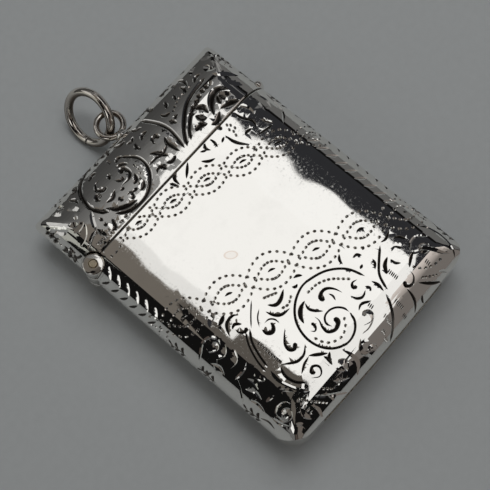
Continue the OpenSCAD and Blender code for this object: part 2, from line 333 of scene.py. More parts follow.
# %% Scrolls at the foot of the body
FOOT_LINES = [
    (0.28, (5.1, -15.6), (4.3, -13.2), (2.5, -11.4), (0.3, -10.5), (-1.5, -10.3), (-3.6, -11.1),
     (-5.3, -12.7), (-6.1, -14.9), (-5.9, -17.0), (-4.9, -18.6), (-3.2, -19.5), (-1.6, -19.3),
     (-0.4, -18.4), (0.1, -17.1)),
    (0.24, (0.1, -17.1), (0.0, -16.2), (-0.6, -15.4), (-1.5, -15.0), (-2.4, -15.1), (-3.0, -15.8),
     (-2.8, -16.7)),
    (0.2, (-8.2, -9.8), (-7.4, -9.9), (-6.9, -10.5), (-6.9, -11.3)),
    (0.16, (-9.8, -9.0), (-8.5, -7.8), (-6.9, -6.5)),
    (0.16, (-9.0, -9.7), (-8.2, -8.7), (-7.1, -8.0)),
    (0.3, (-9.9, -8.8), (-11.0, -10.2), (-11.7, -12.0), (-12.2, -14.0)),
    (0.26, (-10.5, -8.6), (-11.6, -10.2), (-12.4, -12.2), (-12.8, -14.2)),
    (0.36, (-12.3, -14.4), (-12.6, -15.9), (-12.2, -17.7), (-11.6, -19.1), (-11.0, -19.9)),
    (0.36, (-11.1, -15.0), (-11.6, -16.3), (-11.3, -17.8), (-10.4, -18.9)),
    (0.4, (-11.1, -20.7), (-10.0, -22.0), (-8.6, -23.2), (-7.4, -24.5)),
    (0.3, (9.6, -14.4), (7.9, -15.6), (6.5, -16.8), (5.8, -18.2), (5.6, -19.0)),
    (0.34, (4.9, -19.2), (4.5, -20.2), (3.6, -21.6), (2.5, -22.9), (1.0, -24.3)),
    (0.3, (11.4, -18.0), (12.4, -17.2), (13.6, -17.2), (14.7, -18.3)),
    (0.34, (-17.8, -6.3), (-16.5, -5.9), (-15.2, -5.4), (-14.1, -5.7), (-13.7, -6.6), (-14.0, -7.4)),
    (0.34, (-16.3, -11.6), (-14.8, -11.8), (-13.5, -11.4)),
    (0.3, (-19.6, -14.2), (-18.0, -13.8), (-16.8, -12.8), (-15.8, -11.4)),
    (0.3, (15.1, -16.6), (16.0, -17.6), (16.5, -19.4), (16.1, -21.3), (15.2, -23.2)),
]
FOOT_COMMAS = [
    (0.6, (-1.9, -16.1), (-1.8, -16.8), (-2.8, -17.2), (-3.7, -16.7), (-3.7, -15.8), (-3.3, -14.9),
     (-3.3, -14.1)),
    (0.58, (-0.7, -13.7), (-0.9, -13.1), (-0.2, -12.7), (0.6, -12.9), (1.2, -13.7), (1.5, -14.8)),
    (0.5, (3.4, -15.7), (2.9, -15.4), (3.3, -14.9), (4.1, -15.1)),
    (0.4, (-4.2, -14.3), (-4.2, -15.0), (-4.7, -15.4), (-5.1, -14.9)),
    (0.5, (0.9, -18.95), (1.3, -18.6), (1.85, -19.0), (1.7, -19.7), (1.0, -19.95), (-0.1, -19.6)),
    (0.55, (-7.5, -14.4), (-8.2, -14.9), (-8.7, -14.4), (-8.5, -13.6), (-7.7, -12.8), (-6.9, -12.2)),
    (0.42, (-8.7, -18.9), (-9.1, -18.5), (-8.5, -18.1), (-7.9, -18.6), (-8.1, -19.3), (-8.8, -19.6),
     (-9.7, -18.9)),
    (0.6, (-5.9, -20.2), (-5.2, -20.6), (-5.1, -21.2), (-5.8, -21.7), (-6.5, -21.1), (-6.6, -20.4)),
    (0.5, (-2.0, -22.4), (-1.3, -22.1), (-0.8, -22.5), (-0.9, -23.2)),
    (0.5, (7.9, -19.8), (7.6, -20.5), (8.4, -20.9), (9.2, -20.4), (9.5, -19.5)),
    (0.4, (11.1, -16.8), (10.7, -16.0), (10.0, -15.7)),
    (0.55, (-10.0, -8.5), (-10.7, -8.6), (-11.2, -8.1), (-11.2, -7.5)),
    (0.5, (-13.5, -14.6), (-14.1, -14.2), (-14.2, -13.4), (-13.8, -13.1)),
    (0.45, (-14.7, -6.4), (-14.2, -6.9), (-14.7, -7.4), (-15.6, -6.9), (-15.5, -6.2)),
    (0.5, (-15.5, -19.4), (-15.1, -19.0), (-14.6, -19.5), (-15.2, -20.2), (-16.2, -19.8), (-16.2, -18.6),
     (-15.2, -18.0), (-14.1, -18.4), (-13.8, -19.4)),
    (0.5, (13.0, -19.6), (12.4, -19.1), (12.9, -18.4), (13.7, -18.9), (13.8, -20.0)),
]
FOOT_LEAVES = [
    (0.55, (-4.9, -13.7), (-4.4, -12.7), (-3.5, -12.0), (-2.5, -11.8)),
    (0.34, (-2.7, -12.0), (-3.0, -12.8), (-2.7, -13.6), (-2.0, -14.5)),
    (0.34, (1.8, -15.8), (2.1, -16.7), (2.8, -17.1), (3.7, -16.8)),
    (0.28, (4.0, -16.4), (4.3, -17.0), (4.0, -17.5)),
    (0.24, (0.2, -13.5), (0.35, -14.1), (0.1, -14.8)),
    (0.34, (1.0, -17.9), (1.9, -17.6), (3.1, -18.3)),
    (0.2, (-1.0, -20.2), (0.2, -20.3), (1.4, -20.1)),
    (0.34, (5.1, -16.6), (5.3, -17.6), (5.1, -18.7)),
    (0.5, (9.0, -16.1), (7.9, -16.6), (7.1, -17.6)),
    (0.34, (9.0, -16.6), (9.0, -17.4), (9.5, -18.0)),
    (0.3, (6.6, -16.0), (7.3, -15.4), (7.5, -14.8)),
    (0.4, (11.9, -18.2), (10.9, -18.5), (9.7, -19.2)),
    (0.45, (11.8, -18.4), (12.9, -18.9), (13.7, -20.0), (14.3, -21.2), (15.0, -22.1)),
    (0.45, (9.1, -21.4), (9.8, -22.3), (10.6, -23.2), (11.8, -24.3)),
    (0.4, (7.4, -20.7), (7.3, -22.0), (6.9, -23.2), (6.1, -24.3)),
    (0.36, (8.4, -23.0), (8.0, -23.7), (7.9, -24.4)),
    (0.34, (5.9, -12.8), (6.6, -12.9), (7.0, -13.5)),
    (0.3, (7.6, -13.1), (8.1, -12.9)),
    (0.34, (4.4, -12.4), (4.6, -11.7), (5.2, -11.1)),
    (0.34, (5.4, -14.5), (6.1, -14.3)),
    (0.34, (9.9, -14.2), (10.8, -14.4), (12.0, -14.0)),
    (0.55, (-9.0, -10.1), (-8.9, -10.9), (-8.3, -11.3), (-7.7, -10.9), (-7.6, -10.3)),
    (0.38, (-6.9, -8.9), (-6.6, -9.9), (-5.9, -10.7), (-4.5, -11.0)),
    (0.5, (-6.1, -8.5), (-5.4, -9.3), (-4.4, -9.3), (-3.1, -8.7)),
    (0.34, (-6.8, -15.5), (-7.8, -16.2), (-8.6, -16.3), (-9.4, -16.1), (-10.9, -14.9)),
    (0.4, (-7.7, -16.8), (-6.6, -17.8), (-5.8, -18.5)),
    (0.3, (-10.1, -17.7), (-8.8, -17.1), (-7.7, -16.9)),
    (0.4, (-6.5, -18.3), (-6.4, -19.0), (-6.6, -19.9)),
    (0.4, (-5.5, -18.5), (-6.2, -19.0), (-6.5, -19.7)),
    (0.5, (-4.3, -19.6), (-4.0, -20.6), (-3.9, -21.8), (-4.2, -22.6), (-5.3, -23.7)),
    (0.45, (-1.6, -20.4), (-2.6, -21.3), (-2.7, -22.0), (-2.3, -23.0), (-2.0, -24.1)),
    (0.6, (-13.2, -4.9), (-12.4, -4.3), (-11.2, -4.1)),
    (0.55, (-12.3, -5.6), (-11.5, -5.4), (-10.7, -5.1)),
    (0.3, (-12.6, -4.9), (-12.3, -6.0), (-12.5, -7.0)),
    (0.4, (-12.4, -7.6), (-11.6, -6.4), (-10.8, -6.0), (-10.0, -6.1), (-9.5, -6.6)),
    (0.4, (-11.5, -7.2), (-10.8, -7.0), (-10.1, -7.7)),
    (0.36, (-2.2, -9.3), (-1.9, -9.7), (-1.4, -9.6)),
    (0.36, (-1.2, -8.7), (-0.6, -8.9), (-0.1, -9.4)),
    (0.45, (-15.8, -8.2), (-14.6, -8.5), (-13.5, -7.8)),
    (0.45, (-15.5, -10.3), (-14.2, -10.2), (-13.2, -9.2)),
    (0.4, (-13.4, -16.5), (-12.5, -17.5)),
    (0.4, (-15.8, -16.5), (-14.4, -16.8)),
    (0.4, (-19.2, -7.0), (-18.9, -8.0), (-17.9, -8.6)),
    (0.4, (-13.3, -20.2), (-13.8, -21.4), (-13.4, -22.6)),
    (0.4, (-12.2, -21.2), (-11.9, -22.4), (-12.3, -23.8)),
    (0.36, (-18.6, -17.0), (-18.0, -18.2), (-18.3, -19.4)),
    (0.36, (12.2, -22.6), (12.8, -23.2), (13.2, -24.0)),
    (0.34, (11.4, -15.0), (12.1, -15.6), (12.5, -16.6)),
    (0.34, (17.6, -14.6), (17.0, -15.6), (17.2, -16.8)),
    (0.34, (18.6, -17.2), (18.0, -18.4), (18.3, -19.8)),
    (0.42, (-17.2, -14.6), (-16.8, -15.8), (-17.1, -17.2)),
    (0.42, (-16.3, -13.4), (-15.7, -14.6), (-15.9, -15.9)),
    (0.4, (-15.0, -12.8), (-14.8, -13.8), (-15.2, -14.8)),
    (0.4, (-16.8, -7.8), (-16.3, -9.0), (-16.8, -10.2)),
    (0.4, (-17.0, -18.2), (-16.9, -19.6), (-16.2, -20.8)),
    (0.4, (-13.4, -17.0), (-12.8, -17.6), (-12.4, -18.4)),
    (0.4, (-15.4, -21.2), (-14.8, -22.0), (-14.9, -22.9)),
    (0.4, (-10.2, -21.4), (-9.6, -22.4), (-9.7, -23.4)),
    (0.4, (-8.0, -21.3), (-7.3, -22.2), (-6.2, -22.9)),
]
# A ladder of short cuts on the base roll.
FOOT_LEAVES += [(0.3, (-13.2, v), (-12.5, v + 0.15)) for v in (-19.6, -20.2, -20.8, -21.4, -22.0)]
print("strokes at the foot:", len(FOOT_LINES) + len(FOOT_COMMAS) + len(FOOT_LEAVES))

# %% Leaves above the plain band
NECK_LINES = [
    (0.34, (17.4, 11.6), (17.0, 9.6), (16.2, 7.8), (14.5, 6.4)),
    (0.3, (10.8, 7.9), (12.2, 7.6), (13.5, 7.3)),
]
NECK_LEAVES = [
    (0.42, (-1.2, 11.1), (-1.1, 12.1), (-0.6, 12.5), (0.2, 12.5)),
    (0.36, (0.0, 11.0), (0.9, 11.7), (1.9, 12.5)),
    (0.36, (-2.0, 12.3), (-1.7, 11.7), (-1.5, 11.2)),
    (0.4, (3.1, 11.2), (3.8, 10.4), (4.7, 10.0)),
    (0.34, (6.1, 10.8), (6.3, 11.6), (6.3, 12.4)),
    (0.3, (6.9, 10.8), (7.8, 11.2)),
    (0.42, (8.0, 11.2), (8.1, 9.8), (8.5, 8.8), (9.2, 7.8)),
    (0.4, (8.3, 12.0), (8.5, 12.7)),
    (0.45, (9.8, 9.2), (10.4, 9.3), (11.2, 9.1)),
    (0.4, (11.3, 12.6), (11.4, 11.2), (12.0, 9.8), (11.6, 8.6)),
    (0.4, (12.9, 9.1), (13.2, 8.2), (13.6, 7.5)),
    (0.36, (12.4, 12.6), (13.1, 11.4), (12.9, 10.2)),
    (0.36, (14.3, 12.6), (14.6, 11.0), (14.3, 9.6)),
    (0.3, (4.0, 12.2), (4.8, 11.6)),
    (0.34, (5.4, 12.6), (4.9, 11.9), (5.2, 11.2)),
    (0.36, (15.6, 12.2), (16.0, 10.8), (15.4, 9.2)),
    (0.36, (18.8, 12.2), (18.4, 10.6), (18.7, 9.0)),
]
NECK_PITS = [(9.3, 12.0), (9.0, 11.3), (9.2, 10.7), (9.0, 10.1), (9.6, 11.6), (9.7, 10.9)]
print("strokes above the band:", len(NECK_LINES) + len(NECK_LEAVES))

# %% Scrolls over the lid
LID_LINES = [
    (0.36, (-7.0, 23.9), (-9.4, 22.5), (-10.6, 20.9), (-11.2, 19.2), (-11.3, 17.9), (-10.9, 16.8),
     (-10.2, 15.6)),
    (0.3, (-3.4, 20.3), (-2.5, 19.1), (-1.9, 17.8), (-2.1, 16.1), (-2.9, 14.9), (-4.4, 13.8), (-6.2, 13.4),
     (-8.2, 13.7), (-9.8, 14.9)),
    (0.34, (2.6, 22.6), (3.2, 20.8), (3.7, 19.0), (3.8, 17.4), (3.5, 15.6), (3.1, 14.1)),
    (0.34, (3.5, 14.0), (5.4, 16.3), (7.9, 18.2), (10.0, 18.9), (12.8, 19.2)),
    (0.3, (4.5, 14.2), (6.0, 15.8), (8.0, 17.1), (10.0, 17.5)),
    (0.22, (-1.9, 16.1), (-0.6, 16.1), (0.6, 15.8), (2.0, 16.3)),
    (0.3, (-13.2, 15.2), (-12.4, 16.6), (-11.5, 17.7)),
    (0.3, (-19.0, 16.2), (-18.0, 15.2), (-16.6, 14.7)),
    (0.26, (-16.4, 14.2), (-15.2, 14.7), (-14.0, 15.1), (-13.1, 15.3)),
    (0.4, (-17.0, 20.5), (-17.0, 19.8), (-16.4, 18.8), (-15.5, 18.3)),
]
LID_COMMAS = [
    (0.5, (-7.7, 18.7), (-8.5, 18.6), (-8.9, 19.4), (-8.4, 20.1), (-7.6, 20.2)),
    (0.5, (-5.1, 18.2), (-4.6, 18.7), (-4.2, 18.2), (-4.3, 17.4), (-5.0, 16.9), (-6.4, 17.0)),
    (0.45, (-5.2, 17.7), (-5.9, 17.6), (-6.4, 18.3)),
    (0.38, (-6.9, 14.6), (-6.3, 14.8), (-6.2, 15.4), (-6.9, 15.5)),
    (0.5, (1.9, 17.8), (2.0, 18.3), (1.3, 18.5), (1.0, 17.9), (1.2, 17.4)),
    (0.5, (-0.8, 13.9), (-0.7, 14.5), (-1.4, 14.9), (-2.0, 14.4)),
    (0.5, (-10.9, 22.9), (-10.4, 22.5), (-10.9, 22.1), (-11.6, 22.5)),
    (0.5, (-5.6, 22.7), (-6.1, 23.2), (-5.7, 23.9)),
    (0.5, (5.2, 22.6), (4.6, 22.6), (4.5, 23.3), (5.1, 23.7)),
    (0.5, (5.6, 17.9), (5.7, 18.3), (6.3, 18.2)),
    (0.5, (14.6, 20.6), (14.0, 20.0), (14.6, 19.3), (15.4, 19.8), (15.3, 20.8)),
    (0.45, (-14.1, 22.4), (-13.6, 21.9), (-14.0, 21.3), (-14.8, 21.7)),
]
LID_LEAVES = [
    (0.34, (-9.5, 16.9), (-8.4, 16.7), (-7.3, 17.3)),
    (0.4, (-10.1, 16.4), (-9.1, 15.1), (-7.7, 14.3), (-6.4, 14.0)),
    (0.4, (-6.7, 18.9), (-6.4, 19.4), (-6.0, 19.7)),
    (0.3, (-7.7, 16.2), (-7.9, 15.7), (-7.6, 15.3)),
    (0.26, (-7.0, 16.6), (-6.2, 16.5)),
    (0.26, (-6.1, 15.2), (-5.1, 15.1)),
    (0.45, (2.6, 17.4), (2.2, 16.2), (2.4, 14.3)),
    (0.36, (-0.5, 20.2), (-0.9, 19.4), (-0.7, 18.6)),
    (0.36, (-0.6, 17.2), (0.1, 16.5), (0.9, 15.0)),
    (0.4, (-0.1, 14.6), (0.6, 14.2), (1.6, 14.3)),
    (0.36, (-4.4, 20.1), (-3.8, 20.5), (-3.0, 20.2)),
    (0.5, (5.8, 14.6), (6.9, 14.7), (7.8, 14.1)),
    (0.5, (7.5, 16.2), (7.8, 15.3), (8.4, 14.7)),
    (0.5, (8.2, 17.0), (9.1, 16.2), (9.0, 15.0)),
    (0.6, (9.2, 14.2), (10.2, 15.6), (11.6, 16.5), (12.7, 16.3), (13.4, 15.4)),
    (0.45, (11.1, 14.6), (11.4, 15.5), (11.8, 15.9)),
    (0.45, (11.8, 15.9), (12.0, 15.2), (11.9, 14.6)),
    (0.45, (12.1, 16.0), (12.5, 15.2), (13.1, 14.6)),
    (0.5, (7.9, 13.6), (9.0, 13.4), (10.2, 14.1)),
    (0.5, (10.5, 14.3), (11.8, 13.9), (13.2, 13.1)),
    (0.4, (4.7, 18.6), (5.0, 17.9), (5.3, 17.4)),
    (0.36, (6.0, 20.2), (6.5, 21.0), (6.8, 21.7)),
    (0.36, (7.7, 20.2), (8.1, 20.8), (8.4, 21.2)),
    (0.36, (10.3, 20.4), (10.7, 21.6), (10.4, 22.8)),
    (0.36, (7.2, 22.8), (7.8, 23.4), (8.6, 23.7)),
    (0.4, (-13.5, 20.7), (-12.7, 19.7), (-12.6, 18.8)),
    (0.45, (-16.2, 15.6), (-14.9, 16.0), (-13.4, 17.0)),
    (0.45, (-15.4, 17.4), (-14.4, 17.3), (-13.3, 17.4)),
    (0.45, (-15.1, 18.4), (-14.4, 18.0), (-14.0, 17.7)),
    (0.36, (-12.9, 15.3), (-12.9, 14.3), (-12.4, 13.4)),
    (0.34, (-13.9, 18.9), (-13.3, 18.4)),
    (0.34, (-12.0, 15.0), (-11.4, 14.7)),
    (0.34, (-11.9, 15.7), (-11.3, 15.8)),
    (0.36, (-11.9, 13.6), (-11.0, 13.7), (-10.6, 14.8)),
    (0.4, (-15.3, 22.2), (-14.6, 21.2), (-14.2, 20.6)),
    (0.4, (-17.4, 17.0), (-17.9, 16.4), (-17.6, 15.8)),
    (0.4, (13.8, 18.8), (14.3, 17.9), (15.4, 17.0), (16.4, 16.0)),
    (0.4, (14.2, 16.8), (14.6, 15.6), (15.4, 14.4)),
    (0.4, (16.8, 18.2), (17.4, 17.8)),
    (0.36, (-13.6, 23.2), (-13.3, 24.0), (-12.7, 24.6)),
    (0.36, (-8.6, 21.4), (-7.8, 21.9), (-6.9, 21.8)),
    (0.36, (-2.6, 22.9), (-2.0, 22.1), (-1.0, 21.9)),
    (0.36, (0.6, 22.6), (1.2, 21.8), (1.9, 21.4)),
    (0.36, (-4.2, 22.2), (-3.7, 23.0), (-3.9, 23.9)),
    (0.36, (12.0, 21.4), (12.7, 22.0), (13.4, 22.0)),
    (0.36, (-12.3, 21.8), (-11.8, 20.9), (-11.9, 20.0)),
    (0.36, (-9.3, 19.0), (-9.9, 18.3), (-9.7, 17.6)),
    (0.34, (-4.9, 19.6), (-4.1, 19.3), (-3.4, 18.6)),
    (0.34, (-1.4, 21.2), (-0.6, 20.9), (0.1, 21.3)),
    (0.36, (0.2, 19.6), (1.0, 20.2), (1.9, 20.1)),
    (0.36, (4.7, 20.4), (5.1, 19.6), (5.9, 19.3)),
    (0.36, (9.3, 19.7), (9.8, 20.5), (9.6, 21.4)),
    (0.36, (11.2, 19.9), (12.0, 20.4), (12.9, 20.3)),
    (0.34, (14.8, 22.4), (15.4, 21.6), (16.2, 21.2)),
    (0.34, (-5.3, 14.5), (-4.4, 14.7), (-3.7, 15.3)),
    (0.34, (-3.9, 16.9), (-4.3, 16.1), (-5.2, 15.8)),
]
LID_TEETH = [(8.3, 17.3), (9.2, 17.5), (10.0, 17.8), (10.9, 18.0), (11.7, 18.0), (12.5, 17.9), (7.4, 16.8)]
print("strokes on the lid:", len(LID_LINES) + len(LID_COMMAS) + len(LID_LEAVES))

# %% Rows of pits and short ticks
PIT_LONG, PIT_WIDE = 0.28, 0.22
PIT_ROWS = [
    (10, (-1.3, -11.4), (0.3, -11.6), (1.9, -12.5), (3.4, -14.2)),
    (8, (-5.4, -16.1), (-4.9, -17.5), (-3.4, -18.4), (-1.9, -18.1), (-1.0, -17.2)),
    (9, (-10.6, -10.9), (-10.7, -12.6), (-10.6, -14.6)),
    (4, (-5.0, -10.3), (-4.2, -10.5), (-3.3, -10.1)),
    (4, (-5.6, -7.6), (-4.8, -8.0), (-4.2, -8.3)),
    (5, (-3.1, 17.7), (-3.1, 16.9), (-3.6, 16.0), (-4.6, 15.4)),
    (6, (-13.9, 13.6), (-12.0, 13.5), (-9.2, 13.6)),
    (7, (6.3, 19.2), (8.0, 19.9), (10.4, 20.0)),
    (6, (-18.2, 20.2), (-18.4, 18.6), (-18.0, 17.0)),
    (6, (10.2, -19.6), (10.9, -20.6), (12.2, -21.4), (13.4, -21.6)),
    (5, (10.0, -21.4), (10.7, -22.0), (11.7, -22.8)),
    (7, (-12.4, -19.9), (-11.9, -20.8), (-10.6, -22.6)),
    (6, (-9.6, -21.0), (-8.6, -22.0), (-7.2, -22.2)),
]
TICK_GROUPS = [
    (7.6, -18.6), (7.6, -17.8), (2.5, -18.7), (2.8, -21.2), (2.6, -22.0), (5.2, -21.0), (5.2, -21.8),
    (1.2, -22.3), (4.7, -23.2), (0.8, -23.4), (11.9, -20.6), (-4.8, 21.2), (9.3, 22.4), (-9.3, 18.3),
]
TICK_LEN, TICK_W, TICK_GAP, TICK_SLANT = 0.75, 0.16, 0.28, 0.12
print("pits in rows:", sum(row[0] for row in PIT_ROWS), "tick groups:", len(TICK_GROUPS))

# %% [markdown]
# On the rolls, where a whole scroll has no room, the engraver repeats one small spray: a stem with three
# leaves on each side. It is drawn once, standing up, and a loop moves, turns, sizes and mirrors it, so a
# change to one leaf changes every spray. A row of SPRAYS is u, v, turn in degrees, size and hand.

# %% Leaf sprays on the rolls
SPRAY_LINES = [(0.24, (0.0, 0.0), (0.3, 1.4), (0.1, 2.9), (-0.5, 4.3))]
SPRAY_LEAVES = [
    (0.5, (0.4, 0.8), (1.0, 1.3), (1.9, 1.2)),
    (0.5, (0.4, 2.1), (1.0, 2.7), (1.8, 2.8)),
    (0.45, (0.1, 3.3), (0.5, 4.0), (1.2, 4.4)),
    (0.5, (0.1, 0.6), (-0.6, 1.2), (-1.4, 1.2)),
    (0.5, (0.2, 1.8), (-0.5, 2.5), (-1.3, 2.6)),
    (0.45, (-0.1, 3.1), (-0.8, 3.6), (-1.5, 3.5)),
]
SPRAYS = [
    (-19.2, -4.6, 4, 0.75, 1), (-19.3, -9.8, -4, 0.75, -1), (-19.2, -17.6, 4, 0.75, 1),
    (18.6, 7.8, 4, 0.8, 1), (18.4, 3.0, -6, 0.8, -1), (18.8, -17.0, 4, 0.8, 1), (18.2, -21.6, 2, 0.8, -1),
    (-18.9, 14.9, 0, 0.7, -1), (-18.6, 18.6, -14, 0.7, 1),
    (18.6, 13.6, 0, 0.8, 1), (18.0, 18.0, 14, 0.75, -1),
    (-14.6, 24.0, -90, 0.7, 1), (-9.6, 24.1, -92, 0.7, -1), (-5.4, 24.0, -88, 0.7, 1),
    (2.0, 24.1, -92, 0.7, -1), (6.6, 24.0, -86, 0.7, 1), (11.2, 24.1, -90, 0.7, -1),
]


def spray_rows(rows):
    """The rows of a spray, moved, turned, sized and mirrored to every place that it has."""
    placed = []
    for u, v, turn, size, hand in SPRAYS:
        c, s = math.cos(math.radians(turn)), math.sin(math.radians(turn))
        for width, *points in rows:
            moved = []
            for x, y in points:
                moved.append((u + size * (c * hand * x - s * y), v + size * (s * hand * x + c * y)))
            placed.append((width, *moved))
    return placed


print("sprays:", len(SPRAYS))

# %% [markdown]
# The chain border is a pair of waves, each of two dotted lines, that weave over one another along a
# path. Where they are furthest apart they leave a pointed eye, with one small leaf cut in it. The feather
# marks are pairs of slanting cuts on each side of a middle line. Both follow a rule, so they are worked
# out from it and only the path, the pitch and the swing are given.

# %% Chain borders and feather marks
BORDERS = [
    {"path": [(-15.6, 13.6), (-9.2, 11.8), (-3.5, 10.2), (1.7, 8.8), (6.7, 6.9), (11.5, 5.2), (17.6, 1.6)],
     "eye": (1.7, 8.8), "pitch": 5.4, "swing": 1.3, "ribbon": 0.58, "dots": 8},
    {"path": [(-19.4, 1.2), (-14.3, -1.4), (-8.3, -3.8), (-2.2, -5.9), (3.8, -8.5), (9.6, -11.1),
              (18.6, -15.4)],
     "eye": (-2.2, -5.9), "pitch": 6.45, "swing": 1.82, "ribbon": 0.66, "dots": 9},
]
BORDER_STEP = 0.04
EYE_W, EYE_HALF, EYE_BOW = 0.3, 0.6, 0.12
FEATHERS = [{"u": -17.4, "from": 9.6, "to": 0.4}, {"u": 16.4, "from": 1.2, "to": -12.6}]
FEATHER_GAP, FEATHER_REACH, FEATHER_DROP, FEATHER_W = 1.65, 1.75, 1.2, 0.42
FEATHER_SPINE, FEATHER_BEND = 0.12, 0.42


def with_direction(path):
    """The points of a path, each with the angle that the path takes there."""
    ahead = np.gradient(path, axis=0)
    return np.c_[path, np.arctan2(ahead[:, 1], ahead[:, 0])]


def beside(path, offset):
    """A path moved sideways by an offset."""
    ahead = np.gradient(path, axis=0)
    ahead /= np.linalg.norm(ahead, axis=1)[:, None]
    return path + np.c_[-ahead[:, 1], ahead[:, 0]] * np.reshape(offset, (-1, 1))


def border_marks(border):
    """Pits of both waves and the leaf in each eye."""
    path = curve_through(border["path"], BORDER_STEP)
    length = np.r_[0, np.cumsum(np.linalg.norm(np.diff(path, axis=0), axis=1))]
    first = np.argmin(np.linalg.norm(path - border["eye"], axis=1))
    phase = (length - length[first]) / border["pitch"]
    wanted = np.arange(math.ceil(phase[0] * border["dots"]), phase[-1] * border["dots"]) / border["dots"]
    at = np.searchsorted(phase, wanted).clip(0, len(path) - 1)
    dots, cuts = [], []
    for wave in (-1, 1):
        ribbon = beside(path, wave * border["swing"] * np.cos(math.pi * phase))
        for line in (-1, 1):
            dots.append(with_direction(beside(ribbon, line * border["ribbon"]))[at])
    for eye in range(math.ceil(phase[0]), math.ceil(phase[-1])):
        middle = with_direction(path)[np.searchsorted(phase, eye).clip(0, len(path) - 1)]
        along = EYE_HALF * np.array((math.cos(middle[2]), math.sin(middle[2])))
        cuts.append((EYE_W, middle[:2] - along, middle[:2] + (0, EYE_BOW), middle[:2] + along))
    return np.vstack(dots), cuts


def feather_marks(feather):
    """Pairs of slanting cuts down a middle line."""
    cuts = []
    for v in np.arange(feather["from"], feather["to"], -FEATHER_GAP):
        for side in (-1, 1):
            foot = (feather["u"] + FEATHER_SPINE * side, v)
            tip = (feather["u"] + side * FEATHER_REACH, v + FEATHER_DROP)
            bend = (0.5 * (foot[0] + tip[0]), v + FEATHER_BEND * FEATHER_DROP)
            cuts.append((FEATHER_W, foot, bend, tip))
    return cuts


print("dots in a border:", len(border_marks(BORDERS[0])[0]))

# %% [markdown]
# On the flat front a cut shows dark, because its steep walls mirror the table and hold dirt. On the rolls,
# which mirror the dark of the room, a bright cut shows instead: the graver leans, and one broad wall of
# the groove catches light. Each stroke takes its way of cutting from where it lies, and the lid's strokes
# are bolder than the body's.

# %% Collect every mark
NECK_PIT_TURN, ROW_STEP = 1.2, 0.05
TOOTH = (0.42, (-0.2, 0.35), (0.0, 0.0), (0.25, -0.45))
LID_BOLD = 1.7
LEAN = {"line": 0.0, "comma": 0.42, "leaf": -0.42}
SIDE_SHADE, BASE_SHADE, BASE_SHADE_END = 0.8, 1.0, 3.0


def ticks_at(centre, count=3):
    """A few short cuts, one above the other."""
    u, v = centre
    half = TICK_LEN / 2
    rows = v + (np.arange(count) - (count - 1) / 2) * TICK_GAP
    return [(TICK_W, (u - half, row), (u + half, row + TICK_SLANT)) for row in rows]


def tooth_at(centre):
    """One of the short thick cuts along the edge of a leaf."""
    width, *points = TOOTH
    return width, *[(centre[0] + u, centre[1] + v) for u, v in points]


def in_shade(u, v):
    """Whether a point lies on a roll that mirrors the dark of the room."""
    on_side = side_c - SIDE_SHADE < abs(u) < side_c + side_r
    return on_side or (v < base_arc_y - BASE_SHADE and u < BASE_SHADE_END)


lines = FOOT_LINES + NECK_LINES + LID_LINES + spray_rows(SPRAY_LINES)
commas = FOOT_COMMAS + LID_COMMAS
leaves = FOOT_LEAVES + NECK_LEAVES + LID_LEAVES + spray_rows(SPRAY_LEAVES)
leaves += [tooth_at(centre) for centre in LID_TEETH]
pits = [np.array([(u, v, NECK_PIT_TURN) for u, v in NECK_PITS])]
for group in TICK_GROUPS:
    leaves += ticks_at(group)
for border in BORDERS:
    border_pits, border_leaves = border_marks(border)
    pits.append(border_pits)
    leaves += border_leaves
for feather in FEATHERS:
    leaves += feather_marks(feather)
for count, *points in PIT_ROWS:
    path = curve_through(points, ROW_STEP)
    pits.append(with_direction(path)[np.linspace(0, len(path) - 1, count).astype(int)])
pits = np.vstack(pits)

strokes = []
for kind, rows in (("line", lines), ("comma", commas), ("leaf", leaves)):
    for width, *points in rows:
        path = curve_through(points)
        u, v = path[len(path) // 2]
        grown = width * (LID_BOLD if v > lid_edge else 1.0)
        strokes.append((path, half_widths(path, kind, grown), LEAN[kind] if in_shade(u, v) else None))
print("strokes:", len(strokes), "pits:", len(pits))

# %% [markdown]
# ## Cutting the sheet
# A Boolean for each of nearly a thousand cuts would be slow and fragile. The sheet is flat in u and v, so
# the edges and the valley of every groove are drawn on it as lines, and a constrained Delaunay
# triangulation makes a mesh that follows them all. Bending the mesh onto the case and lowering the valleys
# then gives crisp grooves with few faces. A row of points near the seam lets its edge be worn round.

# %% Choose the marks of one half
RIM_MARGIN, FEWEST_KEPT, TINY = 0.22, 3, 1e-12


def rim_distance(points, rim):
    """Distance to the outline, negative outside it."""
    best = np.full(len(points), np.inf)
    inside = np.zeros(len(points), bool)
    for p, q in zip(rim, np.roll(rim, -1, axis=0)):
        d = q - p
        t = np.clip(((points - p) @ d) / max(d @ d, TINY), 0, 1)
        best = np.minimum(best, np.linalg.norm(points - p - t[:, None] * d, axis=1))
        crosses = (p[1] > points[:, 1]) != (q[1] > points[:, 1])
        rise = d[1] if abs(d[1]) > TINY else TINY
        inside ^= crosses & (points[:, 0] < p[0] + d[0] * (points[:, 1] - p[1]) / rise)
    return np.where(inside, best, -best)


def marks_inside(rim, mirror):
    """The stretches of the strokes, and the pits, that lie within an outline."""
    flip = np.array((-1.0 if mirror else 1.0, 1.0))
    paths = [stroke[0] * flip for stroke in strokes]
    away = rim_distance(np.vstack(paths), rim)
    ends = np.cumsum([len(path) for path in paths])
    kept = []
    for path, (_, half, lean), end in zip(paths, strokes, ends):
        lean = lean and lean * flip[0]
        inside = away[end - len(path):end] > RIM_MARGIN
        start = None
        for i, here in enumerate(np.r_[inside, False]):
            if here and start is None:
                start = i
            if not here and start is not None:
                if i - start >= FEWEST_KEPT:
                    kept.append((path[start:i], half[start:i], lean))
                start = None
    near = pits * np.r_[flip, flip[0]]
    return kept, near[rim_distance(near[:, :2], rim) > RIM_MARGIN + PIT_LONG]


